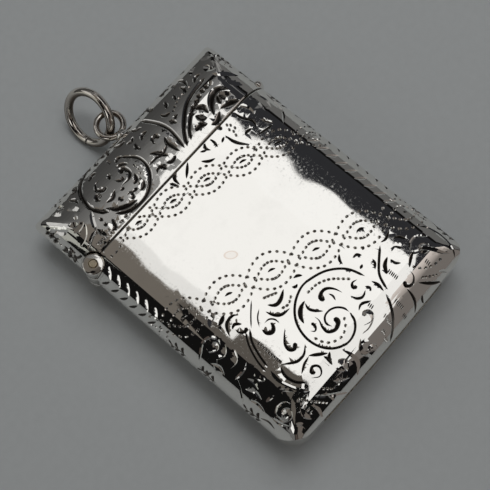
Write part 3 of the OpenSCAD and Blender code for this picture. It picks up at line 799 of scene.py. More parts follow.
from_middle = rim_distance(np.zeros((1, 2)), rim_of("body", 0.0))[0]
print("from the middle of the front to the body's outline:", round(from_middle, 2), "mm")

# %% [markdown]
# A dark cut is a steep V with bevelled lips, which are broader on the lid. A leaning cut has no lips, and
# its valley lies off the middle. A pit is a small cone. Where cuts cross, the deeper one wins, as it does
# under a real graver. Dirt stays in the valley of a dark cut, and hardly at all in a bright one.

# %% How deep the metal is cut
BRIGHT_STEEP, DARK_STEEP, PIT_DEPTH = 0.5, 1.0, 0.2
BODY_LIPS, LID_LIPS = (0.7, 0.3), (0.4, 0.45)
BRIGHT_DIRT, DIRT_WIDTH = 0.25, 0.06
LEAST_WIDTH, LEAST_DEPTH = 1e-6, 1e-5


def lips_of(path):
    """Where a dark cut's lips end and how steep they are."""
    return LID_LIPS if path[len(path) // 2][1] > lid_edge else BODY_LIPS


def cut_profile(across, lean, bevel, steep):
    """Depth of a groove of half width 1, leaning or, where there is no lean, dark with bevelled lips."""
    if lean is not None:
        return BRIGHT_STEEP * np.clip(np.minimum((1 + across) / (1 + lean), (1 - across) / (1 - lean)), 0, 1)
    out = np.clip(np.abs(across), 0, 1)
    lip = steep * (1 - np.maximum(out, bevel))
    return lip + DARK_STEEP * np.maximum(bevel - out, 0)


def across_stroke(points, path, half):
    """How far across a stroke each point lies, from -1 to 1 within it, and its half width there."""
    start, step = path[:-1], np.diff(path, axis=0)
    rel = points[:, None] - start
    t = np.clip((rel * step).sum(-1) / np.maximum((step * step).sum(-1), TINY), 0, 1)
    away = np.linalg.norm(rel - t[..., None] * step, axis=-1)
    pick = away.argmin(axis=1)
    row = np.arange(len(points))
    side = np.sign(step[pick, 0] * rel[row, pick, 1] - step[pick, 1] * rel[row, pick, 0])
    width = np.maximum(half[pick] + t[row, pick] * (half[pick + 1] - half[pick]), LEAST_WIDTH)
    return side * away[row, pick] / width, width


def inside_pit(points, pit):
    """How far inside a pit each point lies, 0 at its edge and 1 at its middle."""
    along = np.array((math.cos(pit[2]), math.sin(pit[2])))
    rel = points - pit[:2]
    away = np.hypot(rel @ along / PIT_LONG, (rel[:, 1] * along[0] - rel[:, 0] * along[1]) / PIT_WIDE)
    return np.clip(1 - away, 0, 1)


def groove_depth(points, kept, near):
    """How far the metal is cut away below each point of the sheet, and how much dirt the cut holds there."""
    depth, dirt = np.zeros(len(points)), np.zeros(len(points))
    for path, half, lean in kept:
        low, high = path.min(0) - half.max(), path.max(0) + half.max()
        close = np.flatnonzero(((points > low) & (points < high)).all(axis=1))
        if not len(close):
            continue
        across, width = across_stroke(points[close], path, half)
        bevel, steep = lips_of(path)
        depth[close] = np.maximum(depth[close], width * cut_profile(across, lean, bevel, steep))
        held = np.clip((1 - np.abs(across)) / (1 - bevel), 0, 1 if lean is None else BRIGHT_DIRT)
        dirt[close] = np.maximum(dirt[close], held * np.clip(width / DIRT_WIDTH, 0, 1))
    for pit in near:
        close = np.flatnonzero(np.abs(points - pit[:2]).max(axis=1) < PIT_LONG)
        inside = inside_pit(points[close], pit)
        depth[close] = np.maximum(depth[close], PIT_DEPTH * inside)
        dirt[close] = np.maximum(dirt[close], inside)
    return np.where(depth > LEAST_DEPTH, depth, 0.0), dirt


depths = [round(cut_profile(np.zeros(1), None, *lips)[0], 2) for lips in (BODY_LIPS, LID_LIPS)]
print("depth of dark cuts on body and lid, in half widths:", depths)

# %% Draw the cuts on the sheet
PIT_SIDES = 6


class SheetDrawing:
    """Points and lines drawn on the sheet."""

    def __init__(self):
        self.points, self.edges = [], []

    def chain(self, points, closed=False):
        """Draws a line through points, and gives their numbers."""
        first = len(self.points)
        self.points += [tuple(p) for p in points]
        last = first + len(points) - 1
        self.edges += [(i, i + 1) for i in range(first, last)]
        if closed:
            self.edges.append((last, first))
        return list(range(first, last + 1))


def groove_outline(drawing, path, half, lean):
    """The edges of a groove, its valley and, on a dark cut, the inner edges of its lips."""
    ahead = np.gradient(path, axis=0)
    ahead /= np.maximum(np.linalg.norm(ahead, axis=1), TINY)[:, None]
    across = np.c_[-ahead[:, 1], ahead[:, 0]] * half[:, None]
    drawing.chain(np.vstack([path + across, (path - across)[::-1]]), closed=True)
    if lean is not None:
        drawing.chain(path + across * lean)
        return
    bevel = lips_of(path)[0]
    for line in (-bevel, 0.0, bevel):
        drawing.chain(path + across * line)


def pit_outline(drawing, pit):
    """The edge of a pit and its middle."""
    along, aside = arc_points((0, 0), 1.0, 0, 360 - 360 / PIT_SIDES, PIT_SIDES).T
    turn = np.array(((math.cos(pit[2]), math.sin(pit[2])), (-math.sin(pit[2]), math.cos(pit[2]))))
    drawing.chain(pit[:2] + np.c_[along * PIT_LONG, aside * PIT_WIDE] @ turn, closed=True)
    drawing.chain([pit[:2]])


sample = SheetDrawing()
pit_outline(sample, pits[0])
print("points drawn for a pit:", len(sample.points))

# %% Triangulate one half of the sheet
EDGE_WEAR, EDGE_WIDTH, EDGE_POINTS, EDGE_MARGIN = 0.1, 0.18, 160, 0.6
CREASE_ENDS, CREASE_POINTS, CREASE_MARGIN = (0.03, math.pi / 2 - 0.02), 40, 0.08
ROLL_GRID, END_GRID, FLAT_GRID, GRID_MARGIN, GROOVE_MARGIN = 0.5, 0.6, 1.2, 0.25, 0.12
KEEP_INSIDE, SAME_POINT = 1, 1e-4


def crease_lines(part):
    """Where the side rolls meet the roll at the end, in u and v."""
    side = run(*CREASE_ENDS, CREASE_POINTS)
    roll_z = side_r * np.cos(side)
    arc_r = base_arc_r if part == "body" else lid_arc_r
    end = np.arccos(np.clip((mid_z + roll_z - front_z + arc_r) / arc_r, -1, 1))
    if part == "body":
        v = base_arc_y - base_arc_r * end
    else:
        nose = np.arccos(np.clip(roll_z / NOSE_R, -1, 1))
        v = np.where(end > nose_start, nose_v + NOSE_R * (nose - nose_start), lid_arc_y + lid_arc_r * end)
    u = side_c + side_r * side
    return [np.c_[sign * u, v] for sign in (-1, 1)]


def sheet_grid(rim):
    """Points that keep the triangles small on the rolls and larger on the flats."""
    low, high = rim.min(0), rim.max(0)
    roll_u = np.arange(side_c, SIDE_U, ROLL_GRID)
    flat_u = np.arange(-side_c + FLAT_GRID, side_c - FLAT_GRID / 2, FLAT_GRID)
    u = np.r_[-roll_u, flat_u, roll_u]
    lid_v, base_v = np.arange(lid_arc_y, high[1], END_GRID), np.arange(base_arc_y, low[1], -END_GRID)
    v = np.r_[np.arange(base_arc_y, lid_arc_y, FLAT_GRID)[1:], lid_v, base_v]
    grid = np.stack(np.meshgrid(u, v), -1).reshape(-1, 2)
    return grid[rim_distance(grid, rim) > GRID_MARGIN]


def edge_row(part, rim):
    """A line just inside the seam, where its worn edge begins."""
    edge = body_edge - EDGE_WIDTH if part == "body" else lid_edge + EDGE_WIDTH
    row = np.c_[run(-SIDE_U, SIDE_U, EDGE_POINTS), np.full(EDGE_POINTS, edge)]
    return row[rim_distance(row, rim) > EDGE_MARGIN * EDGE_WIDTH]


def triangulate(part, inset, mirror):
    """A flat mesh of one skin: its u and v, groove depths, dirt and faces."""
    rim = rim_of(part, inset)
    drawing = SheetDrawing()
    outline = drawing.chain(rim, closed=True)
    kept, near = ([], []) if inset else marks_inside(rim, mirror)
    widened = [(path, half + GROOVE_MARGIN, 0.0) for path, half, _ in kept]
    grid = sheet_grid(rim)
    for point in grid[groove_depth(grid, widened, near)[0] == 0]:
        drawing.chain([point])
    for crease in crease_lines(part):
        drawing.chain(crease[rim_distance(crease, rim) > CREASE_MARGIN])
    if not inset:
        drawing.chain(edge_row(part, rim))
    for path, half, lean in kept:
        groove_outline(drawing, path, half, lean)
    for pit in near:
        pit_outline(drawing, pit)
    drawn = [Vector(p) for p in drawing.points]
    points, _, faces, *_ = delaunay_2d_cdt(drawn, drawing.edges, [outline], KEEP_INSIDE, SAME_POINT)
    uv = np.array([tuple(p) for p in points])
    return uv, *groove_depth(uv, kept, near), faces


print("grid points on the lid:", len(sheet_grid(rim_of("lid", 0.0))))

# %% [markdown]
# ## From sheet to shell
# A struck shell has two skins, a rim and, at the base, a flat band. The engraved outer skin and the plain
# inner skin are bent into place, the band is extruded down from their lower edges, and one bridge of faces
# joins the two open edges into a closed wall. A back half is the same work turned over.

# %% Build one skin
INSIDE_SLOT = 1
NEAR, TOUCHING = 1e-7, 1e-8


def add_skin(bm, part, inset, mirror):
    """One skin of a shell, with its band, as an open mesh. Its vertices carry cut depth, dirt and facing."""
    uv, depth, dirt, faces = triangulate(part, inset, mirror)
    spots, facing = place(uv, inset)
    edge = body_edge if part == "body" else lid_edge
    worn = EDGE_WEAR * np.clip(1 - np.abs(uv[:, 1] - edge) / EDGE_WIDTH, 0, 1)
    lowered = np.zeros(len(uv)) if inset else np.maximum(depth, worn)
    spots = (spots - facing * lowered[:, None]) * MM
    groove_dirt_and_wire_shade, cut = bm.verts.layers.float["groove_dirt_and_wire_shade"], bm.verts.layers.float["cut"]
    faces_out = bm.verts.layers.float_vector["facing"]
    verts = []
    dirt = np.maximum(dirt, worn / EDGE_WEAR)
    for spot, held, low, normal in zip(spots.tolist(), dirt, lowered, facing.tolist()):
        vert = bm.verts.new(spot)
        vert[groove_dirt_and_wire_shade] = held
        vert[cut] = low
        vert[faces_out] = [-c for c in normal] if inset else normal
        verts.append(vert)
    made = []
    for face in faces:
        corners = [verts[i] for i in (reversed(face) if inset else face)]
        made.append(bm.faces.new(corners))
    if inset:
        for face in made:
            face.material_index = INSIDE_SLOT
    bmesh.ops.delete(bm, geom=[v for v in verts if not v.link_faces], context="VERTS")
    drop_band(bm, part, made)


def in_notch(vert):
    """Whether a vertex lies at the hinge notch."""
    return math.hypot(vert.co.x - hinge[0] * MM, vert.co.y - hinge[1] * MM) < NOTCH_R * MM + NEAR


def drop_band(bm, part, skin):
    """Extrudes the lower edge of a skin down to the middle plane, round the striker's slot."""
    edge = (body_edge if part == "body" else lid_edge) * MM
    lower = []
    for e in {e for face in skin for e in face.edges if e.is_boundary}:
        at_seam = all(abs(v.co.y - edge) < NEAR for v in e.verts)
        at_notch = all(in_notch(v) for v in e.verts)
        on_plane = all(v.co.z < mid_z * MM + TOUCHING for v in e.verts)
        if not (at_seam or at_notch or on_plane):
            lower.append(e)
    band = bmesh.ops.extrude_edge_only(bm, edges=lower)["geom"]
    for vert in (g for g in band if isinstance(g, bmesh.types.BMVert)):
        in_slot = part == "body" and abs(vert.co.x) < SLOT_W / 2 * MM - NEAR and vert.co.y < base_arc_y * MM
        vert.co.z = (mid_z + (SLOT_H / 2 if in_slot else 0)) * MM
        vert[bm.verts.layers.float["cut"]] = 1.0
        vert[bm.verts.layers.float["groove_dirt_and_wire_shade"]] = 0.0
    for face in (g for g in band if isinstance(g, bmesh.types.BMFace)):
        face.material_index = skin[0].material_index


print("walls", WALL, "mm thick, and", BASE_WALL, "mm at the base")


# %% Join two skins
def shell_mesh(name, part, back):
    """A closed shell of two skins, their bands and a bridge between them, turned over for a back half."""
    bm = bmesh.new()
    bm.verts.layers.float.new("groove_dirt_and_wire_shade")
    bm.verts.layers.float.new("cut")
    bm.verts.layers.float_vector.new("facing")
    for inset in (0.0, WALL):
        add_skin(bm, part, inset, back)
    bmesh.ops.remove_doubles(bm, verts=bm.verts, dist=TOUCHING)
    bmesh.ops.dissolve_degenerate(bm, dist=TOUCHING, edges=bm.edges)
    open_edges = [e for e in bm.edges if e.is_boundary]
    bridged = bmesh.ops.bridge_loops(bm, edges=open_edges)["faces"]
    for face in bridged:
        face.material_index = INSIDE_SLOT
    bmesh.ops.triangulate(bm, faces=[f for f in bm.faces if len(f.verts) > 4])
    if back:
        bmesh.ops.scale(bm, verts=bm.verts, vec=(1, 1, -1), space=Matrix.Translation((0, 0, -mid_z * MM)))
    bmesh.ops.recalc_face_normals(bm, faces=bm.faces)
    mesh = bpy.data.meshes.new(name)
    bm.to_mesh(mesh)
    bm.free()
    return mesh


shell_meshes = {}
for part in ("body", "lid"):
    for face, back in (("front", False), ("back", True)):
        mesh = shell_mesh(f"{part}_{face}_shell", part, back)
        shell_meshes[f"{part}_{face}"] = mesh
        print(mesh.name, "triangles:", sum(len(p.vertices) - 2 for p in mesh.polygons))

# %% [markdown]
# Polished silver is a mirror, so the slightest kink in its normals shows. Shade Smooth alone would blend
# the cuts into the plain metal. Here the plain metal takes its normals from the true rolls, and each wall
# of a groove keeps its own, as a graver's cut does.

# %% Set the mirror-smooth normals
WALL_BLEND, PLAIN_MATCH, LEAST_AREA = 26, 0.85, 1e-14


def read_mesh(items, name, width, kind=float):
    """One value, or one row of values, for each item of a mesh."""
    values = np.zeros(len(items) * width, kind)
    items.foreach_get(name, values)
    return values.reshape(-1, width) if width > 1 else values


def along_walls(corner_vert, facets, weight):
    """Normals of the cuts: each facet's own, blended with its neighbours that lie nearly in its plane."""
    order = np.argsort(corner_vert, kind="stable")
    count = np.bincount(corner_vert)[corner_vert[order]]
    first = np.searchsorted(corner_vert[order], corner_vert[order])
    starts = np.cumsum(count) - count
    mine = np.repeat(order, count)
    other = order[np.repeat(first, count) + np.arange(count.sum()) - np.repeat(starts, count)]
    near = (facets[mine] * facets[other]).sum(1) > math.cos(math.radians(WALL_BLEND))
    share = near * (weight[other] + LEAST_AREA)
    blended = np.add.reduceat(facets[other] * share[:, None], starts)
    normals = np.empty_like(facets)
    normals[order] = blended / np.linalg.norm(blended, axis=1)[:, None]
    return normals


def smooth_shell(mesh, back):
    """Gives the plain metal the normals of the rolls, and the cuts those of their walls. Returns the share
    of the corners that are plain."""
    corner_vert = read_mesh(mesh.loops, "vertex_index", 1, int)
    corner_face = np.repeat(np.arange(len(mesh.polygons)), read_mesh(mesh.polygons, "loop_total", 1, int))
    facet = read_mesh(mesh.polygons, "normal", 3)
    cut = read_mesh(mesh.attributes["cut"].data, "value", 1)
    facing = read_mesh(mesh.attributes["facing"].data, "vector", 3) * (1, 1, -1 if back else 1)
    deepest = np.zeros(len(mesh.polygons))
    np.maximum.at(deepest, corner_face, cut[corner_vert])
    agrees = (facing[corner_vert] * facet[corner_face]).sum(1) > PLAIN_MATCH
    plain = (deepest[corner_face] == 0) & agrees
    area = read_mesh(mesh.polygons, "area", 1)
    walls = along_walls(corner_vert, facet[corner_face], area[corner_face] * ~plain)
    normals = np.where(plain[:, None], facing[corner_vert], walls)
    mesh.shade_smooth()
    mesh.normals_split_custom_set(normals.tolist())
    for name in ("cut", "facing"):
        mesh.attributes.remove(mesh.attributes[name])
    return plain.mean()


for node, mesh in shell_meshes.items():
    plain_share = smooth_shell(mesh, node.endswith("back"))
    print(node, "share of plain corners:", round(plain_share, 2))


# %% Add the four shells to the frame
def new_piece(name, mesh, body, slot, *nodes):
    """Links a finished mesh to the frame: what it rides on, its finish and the nodes that it stands for."""
    piece = bpy.data.objects.new(name, mesh)
    bpy.context.scene.collection.objects.link(piece)
    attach(piece, body)
    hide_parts(*nodes)
    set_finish(piece, slot)
    return piece


shells = {}
for node, mesh in shell_meshes.items():
    body = "case" if node.startswith("body") else "lid"
    shells[node] = new_piece(node + "_shell", mesh, body, "engraved_silver", node)
print("shells:", list(shells))

# %% [markdown]
# ## Small fittings
# The ring and the loop are round wire. A torus would do for the loop, but the ring is bent from a length
# of wire whose ends only touch, so a circle is spun round an axis for both: the ring's spin stops just
# short and its ends are closed, and the loop's last turn is merged with its first. The flanks and the
# underside of the wire get painted shade, for the dark that they mirror: each vertex gets a shade value
# from the way that it faces.

# %% Spin the ring and the loop
WIRE_SIDES, WIRE_STEPS = 24, 112
RING_TILT = math.radians(56)
RING_SEAM, RING_SEAM_GAP, RING_END_EASE = 197, 0.09, 0.07
# Painted shade on the wire: it starts where a vertex faces up less than the first value, and is full a span
# lower.
PAINTED_SHADE_FROM, PAINTED_SHADE_SPAN = 0.8, 0.5
SHARP_EDGE = math.radians(38)


def mesh_from(bm, name, smooth=True):
    """Ends a bmesh: doubles merged, normals outward, written to a new mesh."""
    bmesh.ops.remove_doubles(bm, verts=bm.verts, dist=NEAR)
    bmesh.ops.recalc_face_normals(bm, faces=bm.faces)
    mesh = bpy.data.meshes.new(name)
    bm.to_mesh(mesh)
    bm.free()
    if smooth:
        mesh.shade_smooth()
        mesh.set_sharp_from_angle(angle=SHARP_EDGE)
    return mesh


def spun_wire(bm, radius, wire, start, turn):
    """Round wire bent about the Z axis, starting at an angle and going round by a turn, in degrees."""
    section = bmesh.ops.create_circle(bm, segments=WIRE_SIDES, radius=wire * MM)["verts"]
    stand = Matrix.Rotation(math.radians(start), 4, "Z") @ Matrix.Translation((radius * MM, 0, 0))
    bmesh.ops.transform(bm, verts=section, matrix=stand @ Matrix.Rotation(math.pi / 2, 4, "X"))
    edges = list({e for v in section for e in v.link_edges})
    bmesh.ops.spin(bm, geom=section + edges, cent=(0, 0, 0), axis=(0, 0, 1), angle=math.radians(turn),
                   steps=WIRE_STEPS, use_merge=turn == 360)


ring_low, ring_high = box_mm("suspension_ring")
ring_half = (ring_high - ring_low) / 2
ring_r = (ring_half[1] - ring_half[2]) / (1 - math.sin(RING_TILT))
ring_wire = ring_half[1] - ring_r
gap_turn = math.degrees(RING_SEAM_GAP / ring_r)
bm = bmesh.new()
spun_wire(bm, ring_r, ring_wire, RING_SEAM + gap_turn / 2, 360 - gap_turn)
bmesh.ops.holes_fill(bm, edges=bm.edges, sides=WIRE_SIDES)
ends = [f for f in bm.faces if len(f.verts) > 4]
end_edges = [e for f in ends for e in f.edges]
bmesh.ops.bevel(bm, geom=end_edges, offset=RING_END_EASE * MM, segments=2, profile=0.5, affect="EDGES",
                material=-1)
lean = Matrix.Translation((ring_low + ring_half) * MM) @ Matrix.Rotation(-RING_TILT, 4, "Y")
bmesh.ops.transform(bm, verts=bm.verts, matrix=lean)
ring = new_piece("chain_ring", mesh_from(bm, "chain_ring"), "ring", "plain_silver", "suspension_ring")

loop_low, loop_high = box_mm("suspension_loop")
loop_half = (loop_high - loop_low) / 2
bm = bmesh.new()
spun_wire(bm, loop_half[0] - loop_half[2], loop_half[2], 0, 360)
bmesh.ops.translate(bm, verts=bm.verts, vec=(loop_low + loop_half) * MM)
loop = new_piece("lid_loop", mesh_from(bm, "lid_loop"), "lid", "plain_silver", "suspension_loop")
# Painted shade: each vertex of the ring and loop is darkened by how far it faces away from up, for the dark
# that the wire mirrors on its flanks and underside.
for piece in (ring, loop):
    painted_shade = [np.clip((PAINTED_SHADE_FROM - vert.normal.z) / PAINTED_SHADE_SPAN, 0, 1) for vert in piece.data.vertices]
    piece.data.attributes.new("groove_dirt_and_wire_shade", "FLOAT", "POINT").data.foreach_set("value", painted_shade)
print("ring radius", round(ring_r, 2), "wire", round(ring_wire, 2), "mm")

# %% [markdown]
# The hinge barrel and the collar under the loop are lathe work: a profile spun round its axis. A cylinder
# with a bevel would come close, but a profile also gives the countersunk bore and the slightly domed end.
# A knuckle is such a slice of tube with its edges eased by wear. The lid's knuckle has a flat filed on it,
# which the spring under it bears on. The pin is brass wire, riveted over into low domes.

# %% Turn the knuckles, the pin and the collar
TURN_STEPS = 64
PIN_BORE, BORE_SINK, KNUCKLE_EASE, KNUCKLE_CROWN = 0.63, 0.05, 0.3, 0.045
CROWN_POINTS, EASE_POINTS, EASE_START = 5, 5, 82
LEAST_FLAT = 0.01
RIVET = [(1.0, 0.3), (0.84, 0.07), (0.66, 0.03), (0.33, 0.008), (0.0, 0.0)]
BEAD_FOOT, BEAD_POINTS = -0.5, 16


def turned(bm, profile, closed):
    """A profile of radius and height pairs, spun once round the Z axis."""
    verts = [bm.verts.new((r * MM, 0, z * MM)) for r, z in profile]
    pairs = list(zip(verts, verts[1:])) + ([(verts[-1], verts[0])] if closed else [])
    edges = [bm.edges.new(pair) for pair in pairs]
    bmesh.ops.spin(bm, geom=verts + edges, cent=(0, 0, 0), axis=(0, 0, 1), angle=2 * math.pi,
                   steps=TURN_STEPS, use_merge=True)


def eased_tube(radius, bore, low, high, ease):
    """Profile of a tube with a countersunk bore, slightly domed ends and rounded outer edges."""
    mouth, rim = bore + BORE_SINK, radius - ease
    upper = [(bore, high - BORE_SINK), (mouth, high)]
    for r in run(mouth, rim, CROWN_POINTS)[1:]:
        upper.append((r, high - KNUCKLE_CROWN * ((r - mouth) / (rim - mouth)) ** 2))
    rounded = arc_points((rim, high - ease), ease, EASE_START, 0, EASE_POINTS)
    upper += [(r, z - KNUCKLE_CROWN) for r, z in rounded]
    return upper + [(r, low + high - z) for r, z in upper[::-1]]


def knuckle_mesh(node):
    """A knuckle as big as its node, with the cam flat filed on where the node has one."""
    low, high = box_mm(node)
    radius, flat_y = (high[0] - low[0]) / 2, low[1]
    bm = bmesh.new()
    turned(bm, eased_tube(radius, PIN_BORE, low[2], high[2], KNUCKLE_EASE), True)
    bmesh.ops.translate(bm, verts=bm.verts, vec=(hinge[0] * MM, hinge[1] * MM, 0))
    if hinge[1] - flat_y < radius - LEAST_FLAT:
        everything = bm.verts[:] + bm.edges[:] + bm.faces[:]
        bmesh.ops.bisect_plane(bm, geom=everything, plane_co=(0, flat_y * MM, 0), plane_no=(0, -1, 0),
                               clear_outer=True)
        bmesh.ops.holes_fill(bm, edges=bm.edges, sides=0)
    return mesh_from(bm, node + "_tube")


for node, body in (("front_knuckle", "case"), ("back_knuckle", "case"), ("lid_knuckle", "lid")):
    new_piece(node + "_tube", knuckle_mesh(node), body, "plain_silver", node)

pin_low, pin_high = box_mm("hinge_pin")
pin_r = (pin_high[0] - pin_low[0]) / 2
dome = [(pin_r * part, pin_high[2] - drop) for part, drop in RIVET]
bm = bmesh.new()
turned(bm, [(r, pin_low[2] + pin_high[2] - z) for r, z in dome[::-1]] + dome, False)
bmesh.ops.translate(bm, verts=bm.verts, vec=(hinge[0] * MM, hinge[1] * MM, 0))
pin = new_piece("riveted_pin", mesh_from(bm, "riveted_pin"), "case", "brass_pin", "hinge_pin")

collar_low, collar_high = box_mm("loop_collar")
collar_r = (collar_high[0] - collar_low[0]) / 2
lift = run(BEAD_FOOT, math.pi / 2, BEAD_POINTS)
bead = [(collar_r * math.cos(a), collar_r * math.sin(a)) for a in lift]
bm = bmesh.new()
turned(bm, [(0, bead[0][1])] + bead, False)
stand = Matrix.Translation((0, top_y * MM, mid_z * MM)) @ Matrix.Rotation(-math.pi / 2, 4, "X")
bmesh.ops.transform(bm, verts=bm.verts, matrix=stand)
new_piece("loop_bead", mesh_from(bm, "loop_bead"), "lid", "plain_silver", "loop_collar")
print("pin radius", round(pin_r, 2), "collar radius", round(collar_r, 2), "mm")

# %% [markdown]
# The thumb piece is a bead of half-round wire bent to the side roll and soldered just above the seam, for
# a nail to push the lid open. A straight bead with round ends is turned first, then bent about the roll.

# %% Bend the thumb piece
THUMB_END_POINTS, THUMB_POINTS = 8, 14
thumb_low, thumb_high = box_mm("thumb_piece")
thumb_r = thumb_high[0] - half_w
thumb_half = side_r * math.asin((thumb_high[2] - mid_z) / side_r)
thumb_straight = thumb_half - thumb_r
round_end = arc_points((0, thumb_straight), thumb_r, 90, 0, THUMB_END_POINTS)
profile = [(0, thumb_half)] + [(x, z) for x, z in round_end[1:]]
profile += [(thumb_r, z) for z in run(thumb_straight, -thumb_straight, THUMB_POINTS)[1:]]
profile += [(x, -z) for x, z in round_end[::-1][1:]]
bm = bmesh.new()
turned(bm, profile, False)
for vert in bm.verts:
    reach = side_r * MM + vert.co.x
    angle = vert.co.z / (side_r * MM)
    y = (thumb_low[1] + thumb_high[1]) / 2 * MM + vert.co.y
    vert.co = (side_c * MM + reach * math.cos(angle), y, mid_z * MM + reach * math.sin(angle))
new_piece("thumb_bead", mesh_from(bm, "thumb_bead"), "lid", "plain_silver", "thumb_piece")
print("thumb bead", round(2 * thumb_half, 2), "mm long")

# %% [markdown]
# ## Finishes
# Old silver is bright where it is rubbed and warm grey in the corners that a cloth can't reach. The
# engraved shells carry a groove value on every vertex, so the tarnish lies in the cuts. Slow dents and
# fine scratches could be painted on an image, but noise needs no unwrapping and stays sharp close up. Each
# noise is sized in millimetres of the object. The scratches are drawn coarser than real hairlines, which
# would be too fine to show.


# %% Helpers for materials
def colour(code):
    """Linear colour from an sRGB hex code."""
    parts = [int(code[i:i + 2], 16) / 255 for i in (1, 3, 5)]
    return [c / 12.92 if c < 0.04045 else ((c + 0.055) / 1.055) ** 2.4 for c in parts] + [1.0]


def per_metre(size):
    """The noise scale whose patches are about a size in millimetres."""
    return 1 / (size * MM)


def add_node(tree, kind, sockets=None, **settings):
    """Adds one shader node, with its settings and with values or links for its sockets."""
    made = tree.nodes.new("ShaderNode" + kind)
    for key, value in settings.items():
        setattr(made, key, value)
    for key, value in (sockets or {}).items():
        if isinstance(value, bpy.types.NodeSocket):
            tree.links.new(value, made.inputs[key])
        else:
            made.inputs[key].default_value = value
    return made


def new_material(name):
    """An empty material and its node tree."""
    material = bpy.data.materials.new(name)
    material.use_nodes = True
    material.node_tree.nodes.clear()
    return material, material.node_tree


print("mid grey in linear light:", round(colour("#808080")[0], 3))

# %% A tide mark on the front
STAIN_AT, STAIN_SIZE, STAIN_TURN = (-4.1, -0.5, 9.6), (0.9, 0.55, 1.0), -0.75
STAIN_RING, STAIN_PALE, STAIN_DARK = (0.7, 0.95, 1.15), 0.12, 0.5


def water_stain(tree, where, tint):
    """A faint brown tide mark, oval and no bigger than a drop, on the plain band of the front."""
    spot = {"Vector": where, "Location": Vector(STAIN_AT) * MM, "Rotation": (0, 0, STAIN_TURN),
            "Scale": Vector(STAIN_SIZE) * MM}
    oval = add_node(tree, "Mapping", spot, vector_type="TEXTURE")
    reach = add_node(tree, "VectorMath", {0: oval.outputs[0]}, operation="LENGTH").outputs["Value"]
    # Map Range takes a value, the two ends that it comes from and the two that it goes to.
    start, peak, end = STAIN_RING
    rise = add_node(tree, "MapRange", {0: reach, 1: start, 2: peak, 3: STAIN_PALE, 4: STAIN_DARK}, clamp=True)
    fall = add_node(tree, "MapRange", {0: reach, 1: peak, 2: end, 3: 1.0, 4: 0.0}, clamp=True)
    share = add_node(tree, "Math", {0: rise.outputs[0], 1: fall.outputs[0]}, operation="MULTIPLY")
    stained = {0: share.outputs[0], 6: tint, 7: colour("#cdb09a")}
    return add_node(tree, "Mix", stained, data_type="RGBA").outputs[2]


print("tide mark", 2 * STAIN_SIZE[0], "by", 2 * STAIN_SIZE[1], "mm")

# %% Worn metal
PATCH_SIZE, RUB_SIZE, DENT_SIZE, HAIR_SIZE = 3.85, 0.385, 7.7, 2.38
# The vertex value's range and darkness serve both dirt in the cuts and painted shade on the wire.
PATCH_RANGE, DIRT_AND_SHADE_RANGE, RUB_RANGE = (0.5, 0.78), (0.3, 0.9), (0.55, 1.3)
DIRT_AND_SHADE_DARK = 0.9
HAIR_DEPTH, HAIR_TURN, HAIR_SQUEEZE = 0.00015, (0.3, 0.2, 0.7), (1, 14, 14)


def worn_metal(name, bright, tarnish, rough, stain, dent, groove_dirt_and_shade=False, drop=False):
    """Metal that is bright on its high parts, with stain in patches, slow dents and fine scratches, and
    darkened by a vertex value, which is dirt in engraved cuts and painted shade on the flanks of wire.
    Rough is a pair from polished to dulled, stain is its strength, and dent is the dents' depth in mm."""
    material, tree = new_material(name)
    where = add_node(tree, "TexCoord").outputs["Object"]
    patches = {"Vector": where, "Scale": per_metre(PATCH_SIZE), "Detail": 5, "Roughness": 0.62}
    cloud = add_node(tree, "TexNoise", patches).outputs[0]
    low, high = PATCH_RANGE
    dull = add_node(tree, "MapRange", {0: cloud, 1: low, 2: high, 3: 0.0, 4: stain}, clamp=True).outputs[0]
    if groove_dirt_and_shade:
        # One vertex value serves two things: dirt held in the engraved cuts, and painted shade on the flanks
        # of the wire.
        held = add_node(tree, "Attribute", attribute_name="groove_dirt_and_wire_shade").outputs["Fac"]
        low, high = DIRT_AND_SHADE_RANGE
        deep = add_node(tree, "MapRange", {0: held, 1: low, 2: high, 3: 0.0, 4: DIRT_AND_SHADE_DARK}, clamp=True)
        dull = add_node(tree, "Math", {0: dull, 1: deep.outputs[0]}, operation="MAXIMUM").outputs[0]
    tones = {0: dull, 6: colour(bright), 7: colour(tarnish)}
    tint = add_node(tree, "Mix", tones, data_type="RGBA").outputs[2]
    if drop:
        tint = water_stain(tree, where, tint)
    fine = add_node(tree, "TexNoise", {"Vector": where, "Scale": per_metre(RUB_SIZE), "Detail": 4})
    rub = add_node(tree, "Math", {0: dull, 1: fine.outputs[0]}, operation="ADD").outputs[0]
    low, high = RUB_RANGE
    gloss = add_node(tree, "MapRange", {0: rub, 1: low, 2: high, 3: rough[0], 4: rough[1]}, clamp=True)
    slow = add_node(tree, "TexNoise", {"Vector": where, "Scale": per_metre(DENT_SIZE), "Detail": 1})
    dents = add_node(tree, "Bump", {"Height": slow.outputs[0], "Distance": dent * MM, "Strength": 1.0})
    drawn_out = add_node(tree, "Mapping", {"Vector": where, "Rotation": HAIR_TURN, "Scale": HAIR_SQUEEZE})
    hairs = {"Vector": drawn_out.outputs[0], "Scale": per_metre(HAIR_SIZE), "Detail": 6, "Roughness": 0.7}
    hair = add_node(tree, "TexNoise", hairs)
    marks = add_node(tree, "Bump", {"Height": hair.outputs[0], "Distance": HAIR_DEPTH * MM, "Strength": 1.0,
                                    "Normal": dents.outputs[0]})
    shader = add_node(tree, "BsdfPrincipled", {"Base Color": tint, "Metallic": 1.0,
                                               "Roughness": gloss.outputs[0], "Normal": marks.outputs[0]})
    add_node(tree, "OutputMaterial", {"Surface": shader.outputs[0]})
    return material


noise_sizes = (PATCH_SIZE, RUB_SIZE, DENT_SIZE, HAIR_SIZE)
print("noise scales:", [round(per_metre(size)) for size in noise_sizes])

